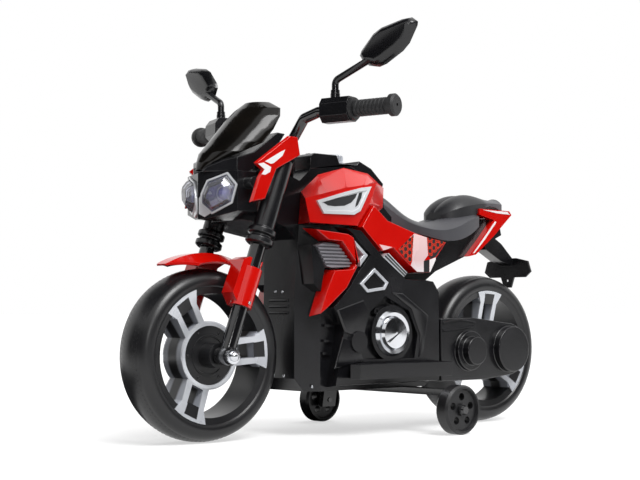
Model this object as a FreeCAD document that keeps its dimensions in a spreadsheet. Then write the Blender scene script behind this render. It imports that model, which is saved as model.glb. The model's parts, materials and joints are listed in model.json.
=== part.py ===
import FreeCAD, Part
import math
import os
import Sketcher
from types import SimpleNamespace
from FreeCAD import Placement, Rotation, Vector

# A kids electric motorbike, in millimetres.
# +X points forwards, +Y to the rider's left, +Z up.
# The origin is on the ground, midway between the two axles.

SIZES = (
    ("wheelbase", 612.0, "front axle to rear axle"),
    ("tyre_radius", 132.0, "both wheels, over the tread"),
    ("tyre_half", 35.0, "half the width of a wheel"),
    ("tyre_depth", 38.0, "tread to the inside of the rim"),
    ("rim_land", 10.0, "rim from its inside to the edge of the tread wall"),
    ("hub_radius", 50.0, "hub disc with its silver ring"),
    ("hub_half", 22.0, "half the width of the hub disc"),
    ("boss_radius", 19.0, "hub boss on the axle"),
    ("spoke_gap", 11.0, "half the slot between the two bars of a spoke"),
    ("spoke_edge", 21.0, "outer edge of a bar from the middle of its spoke"),
    ("fan_angle", 17.5, "half angle of the flare where a spoke meets the rim"),
    ("trim_thickness", 2.5, "silver spoke trim"),
    ("trim_ring", 45.0, "inside of the silver hub ring"),
    ("axle_radius", 5.0, "both axles"),
    ("running_clearance", 0.06, "radial gap of a part that turns on a pin"),
    ("seat_clearance", 0.3, "gap between parts that lie beside each other"),
    ("rake", 19.8, "fork angle from upright, degrees"),
    ("steering_offset", 38.0, "steering axis behind the fork legs"),
    ("fork_half", 66.0, "fork legs from the middle plane"),
    ("leg_radius", 12.0, "fork leg tube"),
    ("lug_radius", 14.0, "eye at the foot of a leg"),
    ("lug_half", 12.5, "half the width of that eye"),
    ("sleeve_radius", 17.0, "upper fork sleeve"),
    ("collar_radius", 22.0, "rings at the foot of a sleeve"),
    ("collar_height", 13.0, "one ring at the foot of a sleeve"),
    ("sleeve_rise", 46.0, "foot of the sleeve above the tread, along the leg"),
    ("sleeve_length", 140.0, "upper fork sleeve"),
    ("guard_drop", 54.0, "foot of the fender's fork guard below the tread, along the leg"),
    ("guard_height", 62.0, "length of the fender's fork guard"),
    ("yoke_rise", 80.0, "underside of the lower yoke above the tread, along the leg"),
    ("yoke_height", 20.0, "thickness of the lower yoke"),
    ("crown_height", 14.0, "thickness of the upper yoke"),
    ("stem_radius", 11.0, "steering stem"),
    ("bush_radius", 18.0, "outside of the steering bush"),
    ("bar_radius", 8.5, "handlebar tube"),
    ("bar_bend", 18.0, "bend radius of the handlebar"),
    ("bar_sweep", 16.5, "grips swept back, degrees"),
    ("bar_end", 130.0, "straight end of the bar that carries pod and grip"),
    ("bar_cap", 10.0, "end of the grip beyond the end of the bar"),
    ("bar_level", 374.0, "height of the grips above the axles, for the drawn tyre"),
    ("grip_radius", 13.0, "grip over its ribs"),
    ("grip_length", 78.0, "grip from its inner flange to its end"),
    ("grip_flange", 17.0, "flange at each end of a grip"),
    ("grip_hole", 2.5, "hole in the end of a grip"),
    ("pod_length", 50.0, "switch pod along the bar"),
    ("pod_half", 19.0, "half the height of a switch pod"),
    ("mirror_pin", 4.0, "pivot pin at the foot of a mirror stem"),
    ("stem_wire", 5.5, "mirror stem"),
    ("mirror_turn", 8.3, "mirror heads turned outwards, degrees"),
    ("button_radius", 6.0, "horn button"),
    ("button_travel", 2.0, "horn button stroke"),
    ("lens_turn", 23.2, "headlight lenses turned outwards, degrees"),
    ("wing_half", 90.0, "half width over the red wings of the cowl"),
    ("wing_thickness", 6.0, "red wing of the cowl"),
    ("body_half", 62.0, "half width of the lower body"),
    ("spine_half", 36.0, "half width of the neck, tank core and tail"),
    ("wall", 3.0, "wall of the moulded body shells"),
    ("body_floor", 60.0, "body underside below the axles"),
    ("tank_half", 84.0, "half width of the tank at its front corner"),
    ("tank_tilt", 7.0, "tank sides drawn in towards the rear, degrees"),
    ("fuel_cap", 15.0, "tank cap"),
    ("cover_half", 82.0, "half width over the engine covers"),
    ("shroud_half", 87.0, "half width over the red shrouds"),
    ("grille_half", 79.0, "half width over the radiator grilles"),
    ("panel_half", 68.0, "half width over the side panels"),
    ("slat_pitch", 5.5, "radiator slats"),
    ("cap_radius", 38.0, "chrome engine cap"),
    ("recess_depth", 12.0, "recess round the engine cap"),
    ("rest_half", 122.0, "half width over the foot rests"),
    ("rest_thickness", 23.0, "foot rest"),
    ("pedal_length", 64.0, "accelerator pedal"),
    ("pedal_width", 26.0, "accelerator pedal"),
    ("arm_inner", 42.0, "inside of the rear covers from the middle plane"),
    ("arm_half", 84.0, "outside of the rear covers from the middle plane"),
    ("arm_round", 46.0, "rounded end of the rear covers"),
    ("motor_radius", 17.5, "drive motor can"),
    ("stabiliser_radius", 40.0, "stabiliser wheel"),
    ("stabiliser_half", 172.0, "stabiliser wheel from the middle plane"),
    ("stabiliser_width", 26.0, "stabiliser wheel"),
    ("pin_radius", 4.0, "stabiliser axle bolt"),
    ("battery_length", 101.0, "battery"),
    ("battery_width", 70.0, "battery"),
    ("battery_height", 94.0, "battery"),
    ("socket_bore", 2.8, "charging socket, for a plug of 5.5 mm"),
    ("socket_radius", 9.0, "charging socket barrel"),
    ("plate_hole", 2.5, "hole in the plate bracket"),
    ("plate_thickness", 4.0, "plate bracket"),
)

doc = FreeCAD.newDocument("kids_electric_motorbike")
sheet = doc.addObject("Spreadsheet::Sheet", "Sizes")


class Size:
    """A length that remembers the cells that it is worked out from."""

    def __init__(self, value, text):
        self.value = float(value)
        self.text = text

    def __add__(self, other):
        return Size(self.value + value_of(other), f"({self.text} + {text_of(other)})")

    def __sub__(self, other):
        return Size(self.value - value_of(other), f"({self.text} - {text_of(other)})")

    def __rsub__(self, other):
        return Size(value_of(other) - self.value, f"({text_of(other)} - {self.text})")

    def __mul__(self, other):
        return Size(self.value * value_of(other), f"({self.text} * {text_of(other)})")

    def __truediv__(self, other):
        return Size(self.value / value_of(other), f"({self.text} / {text_of(other)})")

    def __neg__(self):
        return Size(-self.value, f"(-{self.text})")

    __radd__ = __add__
    __rmul__ = __mul__


def value_of(size):
    return size.value if isinstance(size, Size) else float(size)


def text_of(size):
    return size.text if isinstance(size, Size) else f"({float(size):.6f})"


def cosine(angle):
    return Size(math.cos(math.radians(angle.value)), f"cos({angle.text})")


def sine(angle):
    return Size(math.sin(math.radians(angle.value)), f"sin({angle.text})")


def fill_sheet():
    cells = SimpleNamespace()
    for row, (alias, value, meaning) in enumerate(SIZES, start=1):
        sheet.set(f"A{row}", meaning)
        sheet.set(f"B{row}", str(value))
        sheet.setAlias(f"B{row}", alias)
        setattr(cells, alias, Size(value, f"Sizes.{alias}"))
    doc.recompute()
    return cells


C = fill_sheet()
X_FRONT = C.wheelbase / 2
X_REAR = -C.wheelbase / 2
AXLE = C.tyre_radius
COS_RAKE = cosine(C.rake)
SIN_RAKE = sine(C.rake)
BARREL_RADIUS = C.tyre_radius - C.tyre_depth
RIM_RADIUS = BARREL_RADIUS + C.rim_land
SLEEVE_FOOT = C.tyre_radius + C.sleeve_rise
SLEEVE_TOP = SLEEVE_FOOT + C.sleeve_length
GUARD_FOOT = C.tyre_radius - C.guard_drop
YOKE_FOOT = C.tyre_radius + C.yoke_rise
PARTS = []

# The side outlines are drawn for one tyre and one wheelbase.
# With another tyre the head moves along the fork, and the body keeps clear of both wheels.
# With another wheelbase the middle of the body is stretched between its two ends.
DRAWN_TYRE = 132.0
DRAWN_MIDDLE = 280.0
HEAD_END = -138.0
FRONT_END = -160.0
REAR_END = 172.0
TAIL_END = 92.0
AXLE_BAND = 100.0
GROWTH = C.tyre_radius - DRAWN_TYRE
STRETCH = (C.wheelbase + FRONT_END - REAR_END - GROWTH * 2) / DRAWN_MIDDLE
X_HEAD = X_FRONT - GROWTH * SIN_RAKE
Z_HEAD = AXLE + GROWTH * COS_RAKE


# Points on the side view, measured from an axle

def level(dz):
    """A height on the body, measured from the axles."""
    if dz <= 0:
        return AXLE + dz
    if dz < AXLE_BAND:
        return AXLE + dz + GROWTH * (dz / AXLE_BAND)
    return AXLE + dz + GROWTH


def front(dx, dz):
    """A point on the head, or further back on the body, measured from the front axle."""
    if dx > HEAD_END:
        return (X_HEAD + dx, Z_HEAD + dz)
    if dx > FRONT_END:
        return (X_FRONT + dx - GROWTH, level(dz))
    return (X_FRONT + FRONT_END - GROWTH + STRETCH * (dx - FRONT_END), level(dz))


def rear(dx, dz):
    """A point on the body or tail, measured from the rear axle."""
    if dx > REAR_END:
        return (X_REAR + REAR_END + GROWTH + STRETCH * (dx - REAR_END), level(dz))
    reach = REAR_END if dx > 0 else TAIL_END
    return (X_REAR + dx + GROWTH * (dx / reach), level(dz))


def front_x(dx):
    return front(dx, 0.0)[0]


def rear_x(dx):
    return rear(dx, 0.0)[0]


def fork(ahead, along):
    """A point on the side view, ahead of the fork legs and along them from the axle."""
    return (X_FRONT + ahead * COS_RAKE - along * SIN_RAKE, AXLE + ahead * SIN_RAKE + along * COS_RAKE)


def fronts(*points):
    return [front(dx, dz) for dx, dz in points]


def rears(*points):
    return [rear(dx, dz) for dx, dz in points]


def inset(points, distance):
    """The same outline drawn in by a distance, whichever way round it runs."""
    flat = [(value_of(x), value_of(z)) for x, z in points]
    count = len(flat)
    area = sum(flat[i][0] * flat[(i + 1) % count][1] - flat[(i + 1) % count][0] * flat[i][1]
               for i in range(count))
    turn = 1.0 if area > 0 else -1.0
    moved = []
    for i in range(count):
        before, here, after = flat[i - 1], flat[i], flat[(i + 1) % count]
        ways = []
        for start, end in ((before, here), (here, after)):
            length = math.hypot(end[0] - start[0], end[1] - start[1])
            ways.append((-turn * (end[1] - start[1]) / length, turn * (end[0] - start[0]) / length))
        spread = 1.0 + ways[0][0] * ways[1][0] + ways[0][1] * ways[1][1]
        shift = [distance * (ways[0][k] + ways[1][k]) / spread for k in (0, 1)]
        moved.append((points[i][0] + shift[0], points[i][1] + shift[1]))
    return moved


def between(start, end, share):
    """A point at a share of the way from one point to another."""
    return tuple(a + (b - a) * share for a, b in zip(start, end))


def eased(points, share=0.25):
    """The same outline with each corner cut off at a share of its edges."""
    soft = []
    for here, ahead in zip(points, points[1:] + points[:1]):
        soft.append(between(here, ahead, share))
        soft.append(between(here, ahead, 1 - share))
    return soft


# Document helpers

def bind(obj, path, size):
    obj.setExpression(path, text_of(size))


def keep(obj, label):
    obj.Label = label
    PARTS.append(obj)
    return obj


def new_body(name):
    return doc.addObject("PartDesign::Body", name)


def place(obj, x, y, z, axis=None, angle=None):
    """Put an object at a point, turned about an axis."""
    turn = Rotation() if axis is None else Rotation(Vector(*axis), value_of(angle))
    obj.Placement = Placement(Vector(value_of(x), value_of(y), value_of(z)), turn)
    for letter, size in zip("xyz", (x, y, z)):
        bind(obj, f"Placement.Base.{letter}", size)
    if axis is not None:
        bind(obj, "Placement.Rotation.Angle", angle)
    return obj


def origin_plane(body, role):
    return next(item for item in body.Origin.OriginFeatures if item.Role == role)


def sketch_on(body, role, offset, hinge=0.0, tilt=None):
    """An empty sketch on an origin plane, moved along its normal and turned about its upright."""
    sketch = body.newObject("Sketcher::SketchObject", f"{body.Name}_sketch")
    sketch.AttachmentSupport = (origin_plane(body, role), [""])
    sketch.MapMode = "FlatFace"
    turn = Rotation() if tilt is None else Rotation(Vector(0, 1, 0), value_of(tilt))
    sketch.AttachmentOffset = Placement(Vector(value_of(hinge), 0, value_of(offset)), turn)
    bind(sketch, "AttachmentOffset.Base.x", hinge)
    bind(sketch, "AttachmentOffset.Base.z", offset)
    if tilt is not None:
        bind(sketch, "AttachmentOffset.Rotation.Angle", tilt)
    return sketch


def draw(sketch, points, bulges=None):
    """Draw a closed outline; bulges maps an edge to a point on its arc, and to the radius if it is bound."""
    bulges = bulges or {}
    flat = [Vector(value_of(x), value_of(z), 0) for x, z in points]
    count = len(flat)
    first = sketch.GeometryCount
    heads = []
    for i in range(count):
        start, end = flat[i], flat[(i + 1) % count]
        heads.append(1)
        edge = Part.LineSegment(start, end)
        if i in bulges:
            middle = Vector(value_of(bulges[i][0]), value_of(bulges[i][1]), 0)
            if (middle - start).cross(end - middle).z < 0:
                heads[i] = 2
            edge = Part.Arc(start, middle, end) if heads[i] == 1 else Part.Arc(end, middle, start)
        sketch.addGeometry(edge, False)
    for i in range(count):
        after = (i + 1) % count
        joint = (first + i, 3 - heads[i], first + after, heads[after])
        sketch.addConstraint(Sketcher.Constraint("Coincident", *joint))
    for i in range(count):
        pin(sketch, "DistanceX", first + i, heads[i], points[i][0])
        pin(sketch, "DistanceY", first + i, heads[i], points[i][1])
    for i, bulge in bulges.items():
        edge = first + i
        number = sketch.addConstraint(Sketcher.Constraint("Radius", edge, sketch.Geometry[edge].Radius))
        if len(bulge) > 2:
            sketch.renameConstraint(number, f"Radius{number}")
            bind(sketch, f"Constraints.Radius{number}", bulge[2])
    return sketch


def pin(sketch, kind, edge, corner, size):
    number = sketch.addConstraint(Sketcher.Constraint(kind, -1, 1, edge, corner, value_of(size)))
    sketch.renameConstraint(number, f"{kind}{number}")
    bind(sketch, f"Constraints.{kind}{number}", size)


def circle(sketch, x, z, radius):
    """Draw a circle bound to its centre and radius."""
    centre = Vector(value_of(x), value_of(z), 0)
    edge = sketch.addGeometry(Part.Circle(centre, Vector(0, 0, 1), value_of(radius)), False)
    pin(sketch, "DistanceX", edge, 3, x)
    pin(sketch, "DistanceY", edge, 3, z)
    number = sketch.addConstraint(Sketcher.Constraint("Radius", edge, value_of(radius)))
    sketch.renameConstraint(number, f"Radius{number}")
    bind(sketch, f"Constraints.Radius{number}", radius)
    return sketch


def settle(item):
    """Work out the document, and stop at a feature that failed."""
    doc.recompute()
    if "Invalid" in item.State or "Error" in item.State or item.Shape.isNull():
        raise RuntimeError(f"{item.Label} failed: {item.State} {item.getStatusString()}")
    return item


def feature(body, kind, sketch, length=None, flip=False):
    item = body.newObject(f"PartDesign::{kind}", f"{body.Name}_{kind.lower()}")
    item.Profile = sketch
    if length is not None:
        bind(item, "Length", length)
    item.Reversed = flip
    return settle(item)


def pad(body, sketch, length, flip=False):
    return feature(body, "Pad", sketch, length, flip)


def pocket(body, sketch, length, flip=False):
    """Cut a recess, and make sure that it really cuts."""
    before = body.Shape.Volume
    item = feature(body, "Pocket", sketch, length, flip)
    if body.Shape.Volume > before - 1.0:
        raise RuntimeError(f"{body.Label}: a pocket cuts nothing")
    return item


def revolve(body, sketch, axis="V_Axis", angle=None):
    item = body.newObject("PartDesign::Revolution", f"{body.Name}_turned")
    item.Profile = sketch
    item.ReferenceAxis = (sketch, [axis])
    if angle is None:
        item.Angle = 360.0
    else:
        bind(item, "Angle", angle)
    return settle(item)


def loft(body, sketches):
    item = body.newObject("PartDesign::AdditiveLoft", f"{body.Name}_loft")
    item.Profile = sketches[0]
    item.Sections = sketches[1:]
    item.Ruled = True
    return settle(item)


def repeat_round(body, originals, count, role="Y_Axis"):
    item = body.newObject("PartDesign::PolarPattern", f"{body.Name}_round")
    item.Originals = originals
    item.Axis = (origin_plane(body, role), [""])
    item.Angle = 360.0
    item.Occurrences = count
    body.Tip = item
    return settle(item)


def repeat_line(body, originals, direction, length, count):
    item = body.newObject("PartDesign::LinearPattern", f"{body.Name}_row")
    item.Originals = originals
    item.Direction = direction
    bind(item, "Length", length)
    item.Occurrences = count
    body.Tip = item
    return settle(item)


def mirrored(source, name):
    """The same piece on the right-hand side."""
    item = doc.addObject("Part::Mirroring", name)
    item.Source = source
    item.Normal = (0, 1, 0)
    return settle(item)


def cut(base, tools, name):
    """One shape less others."""
    for number, tool in enumerate(tools, start=1):
        item = doc.addObject("Part::Cut", f"{name}_cut{number}")
        item.Base = base
        item.Tool = tool
        base = item
    doc.recompute()
    return base


def fuse(shapes, name):
    item = doc.addObject("Part::MultiFuse", name)
    item.Shapes = shapes
    item.Refine = True
    return settle(item)


def group(items, label):
    item = doc.addObject("Part::Compound", label)
    item.Links = items
    doc.recompute()
    return keep(item, label)


def rod(name, radius, length, start, axis=None, angle=None):
    """A round bar that starts at a point; it runs along Z until it is turned."""
    item = doc.addObject("Part::Cylinder", name)
    bind(item, "Radius", radius)
    bind(item, "Height", length)
    place(item, *start, axis, angle)
    return item


def cross_rod(name, radius, x, z, near, far):
    """A round bar across the bike, from one distance left of the middle to another."""
    return rod(name, radius, far - near, (x, near, z), (1, 0, 0), -90.0)


def box(name, lengths, corner):
    item = doc.addObject("Part::Box", name)
    for side, size in zip(("Length", "Width", "Height"), lengths):
        bind(item, side, size)
    return place(item, *corner)


def side_sketch(body, points, left, hinge=None, tilt=None):
    """An outline on the side view, at a distance left of the middle plane."""
    if hinge is None:
        return draw(sketch_on(body, "XZ_Plane", -left), points)
    moved = [(x - hinge, z) for x, z in points]
    return draw(sketch_on(body, "XZ_Plane", -left, hinge, tilt), moved)


def side_plate(body, points, near, far):
    """A plate on the side view between two distances left of the middle plane."""
    return pad(body, side_sketch(body, points, near), far - near, flip=True)


def bevelled_plate(body, points, near, far, bevel):
    """A plate whose outer face is drawn in all round."""
    return loft(body, [side_sketch(body, points, near), side_sketch(body, inset(points, bevel), far)])


def bent_path(points, radius):
    """Straight runs joined by tangent arcs."""
    corners = [Vector(*[value_of(size) for size in point]) for point in points]
    edges = []
    start = corners[0]
    for before, here, after in zip(corners, corners[1:], corners[2:]):
        back = (before - here).normalize()
        ahead = (after - here).normalize()
        half = back.getAngle(ahead) / 2
        reach = radius / math.tan(half)
        enter = here + back * reach
        leave = here + ahead * reach
        middle = here + (back + ahead).normalize() * (radius / math.sin(half) - radius)
        edges.append(Part.LineSegment(start, enter).toShape())
        edges.append(Part.Arc(enter, middle, leave).toShape())
        start = leave
    edges.append(Part.LineSegment(start, corners[-1]).toShape())
    return Part.Wire(edges)


def tube_along(path, radius):
    """A solid round bar along a path."""
    first = path.OrderedEdges[0]
    ring = Part.Circle(path.OrderedVertexes[0].Point, first.tangentAt(first.FirstParameter), radius)
    return path.makePipeShell([Part.Wire([ring.toShape()])], True, False)


def shaped(name, shape):
    """A piece whose shape is worked out from the sheet in code, and which stays in its own place."""
    item = doc.addObject("Part::Feature", name)
    item.Shape = shape
    return place(item, 0.0, 0.0, 0.0)


# Wheels

def wheel_windows(body, outer):
    """Cut the openings beside and inside a double spoke, three times round."""
    inner = C.hub_radius + 2
    knee = BARREL_RADIUS - 10

    def on_edge(radius):
        """A point on the outer edge of a spoke bar at a radius from the axle."""
        angle = math.asin(C.spoke_edge.value / value_of(radius))
        return math.degrees(angle)

    def polar(radius, degrees):
        angle = math.radians(degrees)
        return (radius * math.cos(angle), radius * math.sin(angle))

    flare = C.fan_angle.value
    points = [polar(inner, on_edge(inner)), polar(inner, 120 - on_edge(inner)),
              polar(knee, 120 - on_edge(knee)), polar(outer, 120 - flare),
              polar(outer, flare), polar(knee, on_edge(knee))]
    bulges = {0: (*polar(inner, 60), inner), 3: (*polar(outer, 60), outer)}
    window = draw(sketch_on(body, "XZ_Plane", C.tyre_half + 5), points, bulges)
    wide = pocket(body, window, C.tyre_half * 2 + 10)
    slot = [(inner, -C.spoke_gap), (knee - 2, -C.spoke_gap - 1),
            (knee - 2, C.spoke_gap + 1), (inner, C.spoke_gap)]
    gap = draw(sketch_on(body, "XZ_Plane", C.tyre_half + 5), slot)
    narrow = pocket(body, gap, C.tyre_half * 2 + 10)
    repeat_round(body, [wide, narrow], 3)


def wheel(name, x, turn, boss_half):
    """One moulding: tread, dished rim, double spokes, hub and boss."""
    body = new_body(name)
    place(body, x, 0.0, AXLE, (0, 1, 0), turn)
    bore = C.axle_radius + C.running_clearance
    lip = C.tyre_half - 2
    shoulder = C.tyre_radius - 4
    half = [(bore, boss_half), (C.boss_radius, boss_half), (C.boss_radius, C.hub_half),
            (C.hub_radius, C.hub_half), (BARREL_RADIUS, lip - C.trim_thickness), (RIM_RADIUS, lip),
            (RIM_RADIUS + 2, C.tyre_half), (shoulder, C.tyre_half * 0.66)]
    points = half + [(r, -y) for r, y in reversed(half)]
    last = len(half) - 1
    wall = RIM_RADIUS * 0.24 + shoulder * 0.76
    bulges = {last - 1: (wall, C.tyre_half * 0.95), last: (C.tyre_radius, 0.0),
              last + 1: (wall, -C.tyre_half * 0.95)}
    revolve(body, draw(sketch_on(body, "XY_Plane", 0.0), points, bulges))
    wheel_windows(body, BARREL_RADIUS)
    return keep(body, name)


def spoke_trims(name, x, turn):
    """Silver facings on the spokes, left and right, each with a ring round the hub."""
    body = new_body(f"{name}_left")
    place(body, x, 0.0, AXLE, (0, 1, 0), turn)
    lip = C.tyre_half - 2
    thick = C.trim_thickness
    points = [(C.trim_ring, C.hub_half), (C.hub_radius, C.hub_half),
              (BARREL_RADIUS, lip - thick), (RIM_RADIUS, lip),
              (RIM_RADIUS, lip + thick / 2), (BARREL_RADIUS, lip),
              (C.hub_radius, C.hub_half + thick), (C.trim_ring, C.hub_half + thick)]
    revolve(body, draw(sketch_on(body, "XY_Plane", 0.0), points))
    wheel_windows(body, RIM_RADIUS + 3)
    group([body, mirrored(body, f"{name}_right")], name)


def make_wheels():
    front_turn = -55.0
    rear_turn = -94.0
    wheel("front_wheel", X_FRONT, front_turn, C.fork_half - C.lug_radius - 2)
    spoke_trims("front_spoke_trims", X_FRONT, front_turn)
    wheel("rear_wheel", X_REAR, rear_turn, C.arm_inner - C.seat_clearance)
    spoke_trims("rear_spoke_trims", X_REAR, rear_turn)


def make_axles():
    lug_out = C.fork_half + C.lug_half
    shaft = cross_rod("front_axle_shaft", C.axle_radius, X_FRONT, AXLE, -lug_out - 6, lug_out + 6)
    nuts = []
    for side in ("left", "right"):
        nut = new_body(f"axle_nut_{side}")
        place(nut, X_FRONT, 0.0, AXLE)
        reach = lug_out if side == "left" else -lug_out
        sign = 1 if side == "left" else -1
        half = [(C.axle_radius, reach), (C.axle_radius + 5, reach),
                (C.axle_radius + 5, reach + 4 * sign), (C.axle_radius, reach + 6 * sign)]
        revolve(nut, draw(sketch_on(nut, "XY_Plane", 0.0), half))
        nuts.append(nut)
    group([shaft] + nuts, "front_axle")
    end = C.arm_half - C.wall * 2
    keep(cross_rod("rear_axle", C.axle_radius, X_REAR, AXLE, -end, end), "rear_axle")


# Front fork, drawn upright and then raked back about the front axle

def raked(obj, across=None):
    left = 0.0 if across is None else across
    return place(obj, X_FRONT, left, AXLE, (0, 1, 0), -C.rake)


def make_fork():
    legs = []
    sleeves = []
    for side, across in (("left", C.fork_half), ("right", -C.fork_half)):
        leg = raked(new_body(f"fork_leg_{side}"), across)
        top = YOKE_FOOT + C.yoke_height
        pad(leg, circle(sketch_on(leg, "XY_Plane", 0.0), 0.0, 0.0, C.leg_radius), top)
        eye = sketch_on(leg, "XZ_Plane", -C.lug_half)
        circle(eye, 0.0, 0.0, C.lug_radius)
        pad(leg, eye, C.lug_half * 2)
        bore = circle(sketch_on(leg, "XZ_Plane", -30.0), 0.0, 0.0, C.axle_radius + 0.1)
        pocket(leg, bore, 60.0, flip=True)
        legs.append(leg)
        sleeves.append(fork_sleeve(side, across))
    group(legs, "fork_legs")
    group(sleeves, "fork_sleeves")


def fork_sleeve(side, across):
    """A thick sleeve over the leg, with two rings at its foot."""
    sleeve = raked(new_body(f"fork_sleeve_{side}"), across)
    foot = SLEEVE_FOOT
    bore = C.leg_radius + 0.2
    ring = C.collar_height
    points = [(bore, foot)]
    for low in (foot, foot + ring + 2):
        points += [(C.sleeve_radius, low), (C.collar_radius, low + 3), (C.collar_radius, low + ring - 3),
                   (C.sleeve_radius, low + ring)]
    points += [(C.sleeve_radius, SLEEVE_TOP), (bore, SLEEVE_TOP)]
    revolve(sleeve, draw(sketch_on(sleeve, "XZ_Plane", 0.0), points))
    return sleeve


def make_yokes():
    half = C.fork_half
    back = -C.steering_offset - 14
    sleeve_gap = C.sleeve_radius + 0.15
    lower = raked(new_body("lower_yoke_plate"))
    plan = [(24.0, -40.0), (24.0, 40.0), (8.0, half), (-8.0, half), (back, 26.0), (back, -26.0),
            (-8.0, -half), (8.0, -half)]
    pad(lower, draw(sketch_on(lower, "XY_Plane", YOKE_FOOT), plan), C.yoke_height)
    stem = circle(sketch_on(lower, "XY_Plane", YOKE_FOOT), -C.steering_offset, 0.0, C.stem_radius)
    pad(lower, stem, SLEEVE_TOP - YOKE_FOOT)
    holes = sketch_on(lower, "XY_Plane", YOKE_FOOT - 2)
    for across in (half, -half):
        circle(holes, 0.0, across, sleeve_gap)
    pocket(lower, holes, C.yoke_height + 4, flip=True)
    keep(lower, "lower_yoke")

    upper = raked(new_body("upper_yoke_plate"))
    crown = [(6.0, -half - 12), (6.0, half + 12), (-12.0, half + 12), (back - 2, 30.0),
             (back - 2, -30.0), (-12.0, -half - 12)]
    pad(upper, draw(sketch_on(upper, "XY_Plane", SLEEVE_TOP), crown), C.crown_height)
    for across in (24.0, -40.0):
        clamp = [(-2.0, across), (-2.0, across + 16), (-32.0, across + 16), (-32.0, across)]
        top = SLEEVE_TOP + C.crown_height
        pad(upper, draw(sketch_on(upper, "XY_Plane", top), clamp), 25.0)
    x, z = bar_middle()
    grip = cross_rod("bar_seat", C.bar_radius + 0.1, x, z, -60.0, 60.0)
    keep(cut(upper, [grip], "upper_yoke"), "upper_yoke")


def make_bush():
    bush = raked(new_body("steering_bush"))
    foot = YOKE_FOOT + C.yoke_height + C.seat_clearance
    high = SLEEVE_TOP - foot - C.seat_clearance
    ring = sketch_on(bush, "XY_Plane", foot)
    circle(ring, -C.steering_offset, 0.0, C.bush_radius)
    circle(ring, -C.steering_offset, 0.0, C.stem_radius + C.running_clearance)
    pad(bush, ring, high)
    keep(bush, "steering_bush")


def fender_guard():
    """The left guard of the fender: a sleeve round the fork leg with a wedge in front of it."""
    guard = raked(new_body("fork_guard_left"), C.fork_half)
    skin = C.leg_radius + 5
    foot = GUARD_FOOT
    pad(guard, circle(sketch_on(guard, "XY_Plane", foot), 0.0, 0.0, skin), C.guard_height)
    top = foot + C.guard_height + 14
    outline = [(10.0, foot), (26.0, foot + 14), (24.0, top - 8), (14.0, top), (-12.0, top), (-4.0, foot)]
    inner = C.fork_half - C.tyre_half - 3
    pad(guard, draw(sketch_on(guard, "XZ_Plane", -8.0), outline), inner + 8)
    hole = circle(sketch_on(guard, "XY_Plane", foot - 10), 0.0, 0.0, C.leg_radius + 0.3)
    pocket(guard, hole, C.guard_height + 60, flip=True)
    return guard


def make_fender():
    """Red fender: a crowned shell turned about the axle, pointed in front, with two fork guards."""
    arch = new_body("fender_arch")
    place(arch, X_FRONT, 0.0, AXLE, (0, 1, 0), -112.0)
    near = C.tyre_radius + 10
    crown = near + 14
    edge = C.tyre_half + 10
    outer = [(near, edge), (crown, 14.0), (crown, -14.0), (near, -edge)]
    points = outer + [(r - 3.0, y * 0.93) for r, y in reversed(outer)]
    revolve(arch, draw(sketch_on(arch, "XY_Plane", 0.0), points), angle=50.0)
    guard = fender_guard()
    whole = fuse([arch, guard, mirrored(guard, "fork_guard_right")], "fender_whole")
    corner = new_body("fender_corner")
    nose = X_FRONT + C.tyre_radius
    plan = [(nose - 52, 6.0), (nose - 104, edge + 1), (nose - 42, edge + 1)]
    pad(corner, draw(sketch_on(corner, "XY_Plane", AXLE + 60), plan), C.tyre_radius)
    tread = cross_rod("fender_clear", C.tyre_radius + 7, X_FRONT, AXLE, -edge, edge)
    fender = cut(whole, [tread, corner, mirrored(corner, "fender_corner_right")], "front_fender")
    keep(fender, "front_fender")


# Handlebar

def bar_middle():
    return front(-132.0, 320.0)


def bar_corner():
    """Where the swept-back straight end of the bar starts, on the left."""
    return (X_HEAD - 137, 118.0, Z_HEAD + C.bar_level)


def make_handlebar():
    x, z = bar_middle()
    cx, cy, cz = bar_corner()
    ex = cx - C.bar_end * sine(C.bar_sweep)
    ey = cy + C.bar_end * cosine(C.bar_sweep)
    left = [(x, 46.0, z), (x + 2, 92.0, cz - 8), (cx, cy, cz), (ex, ey, cz)]
    right = [(px, -py, pz) for px, py, pz in reversed(left)]
    path = bent_path(right + left, C.bar_bend.value * 0.5)
    keep(shaped("handlebar", tube_along(path, C.bar_radius.value)), "handlebar")


def on_bar(name):
    """A body whose Y axis lies along the left end of the bar."""
    return place(new_body(name), *bar_corner(), (0, 0, 1), C.bar_sweep)


def make_grips():
    grip = on_bar("grip_left")
    end = C.bar_end + C.bar_cap
    start = end - C.grip_length
    bore = C.bar_radius + 0.1
    points = [(bore, start), (C.grip_flange, start), (C.grip_flange, start + 5)]
    ribs = 9
    pitch = (C.grip_length - 17) / ribs
    for i in range(ribs):
        y = start + 5 + pitch * i
        points += [(C.grip_radius - 1.6, y + pitch * 0.1), (C.grip_radius - 1.6, y + pitch * 0.35),
                   (C.grip_radius, y + pitch * 0.45), (C.grip_radius, y + pitch * 0.95)]
    points += [(C.grip_radius, end - 11), (C.grip_flange, end - 10), (C.grip_flange, end - 3),
               (C.grip_flange - 3, end), (C.grip_hole, end), (C.grip_hole, end - 5.6), (bore, end - 5.6)]
    revolve(grip, draw(sketch_on(grip, "XY_Plane", 0.0), points))
    keep(grip, "grip_left")
    keep(mirrored(grip, "grip_right"), "grip_right")


def pod_start():
    return C.bar_end + C.bar_cap - C.grip_length - C.pod_length - C.seat_clearance


def button_along():
    return pod_start() + 30


def mirror_along():
    return pod_start() + 19


def mirror_foot():
    """Top of the boss on the left pod, where the mirror stem turns."""
    along = mirror_along()
    cx, cy, cz = bar_corner()
    return (cx - along * sine(C.bar_sweep), cy + along * cosine(C.bar_sweep), cz + C.pod_half + 7)


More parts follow.
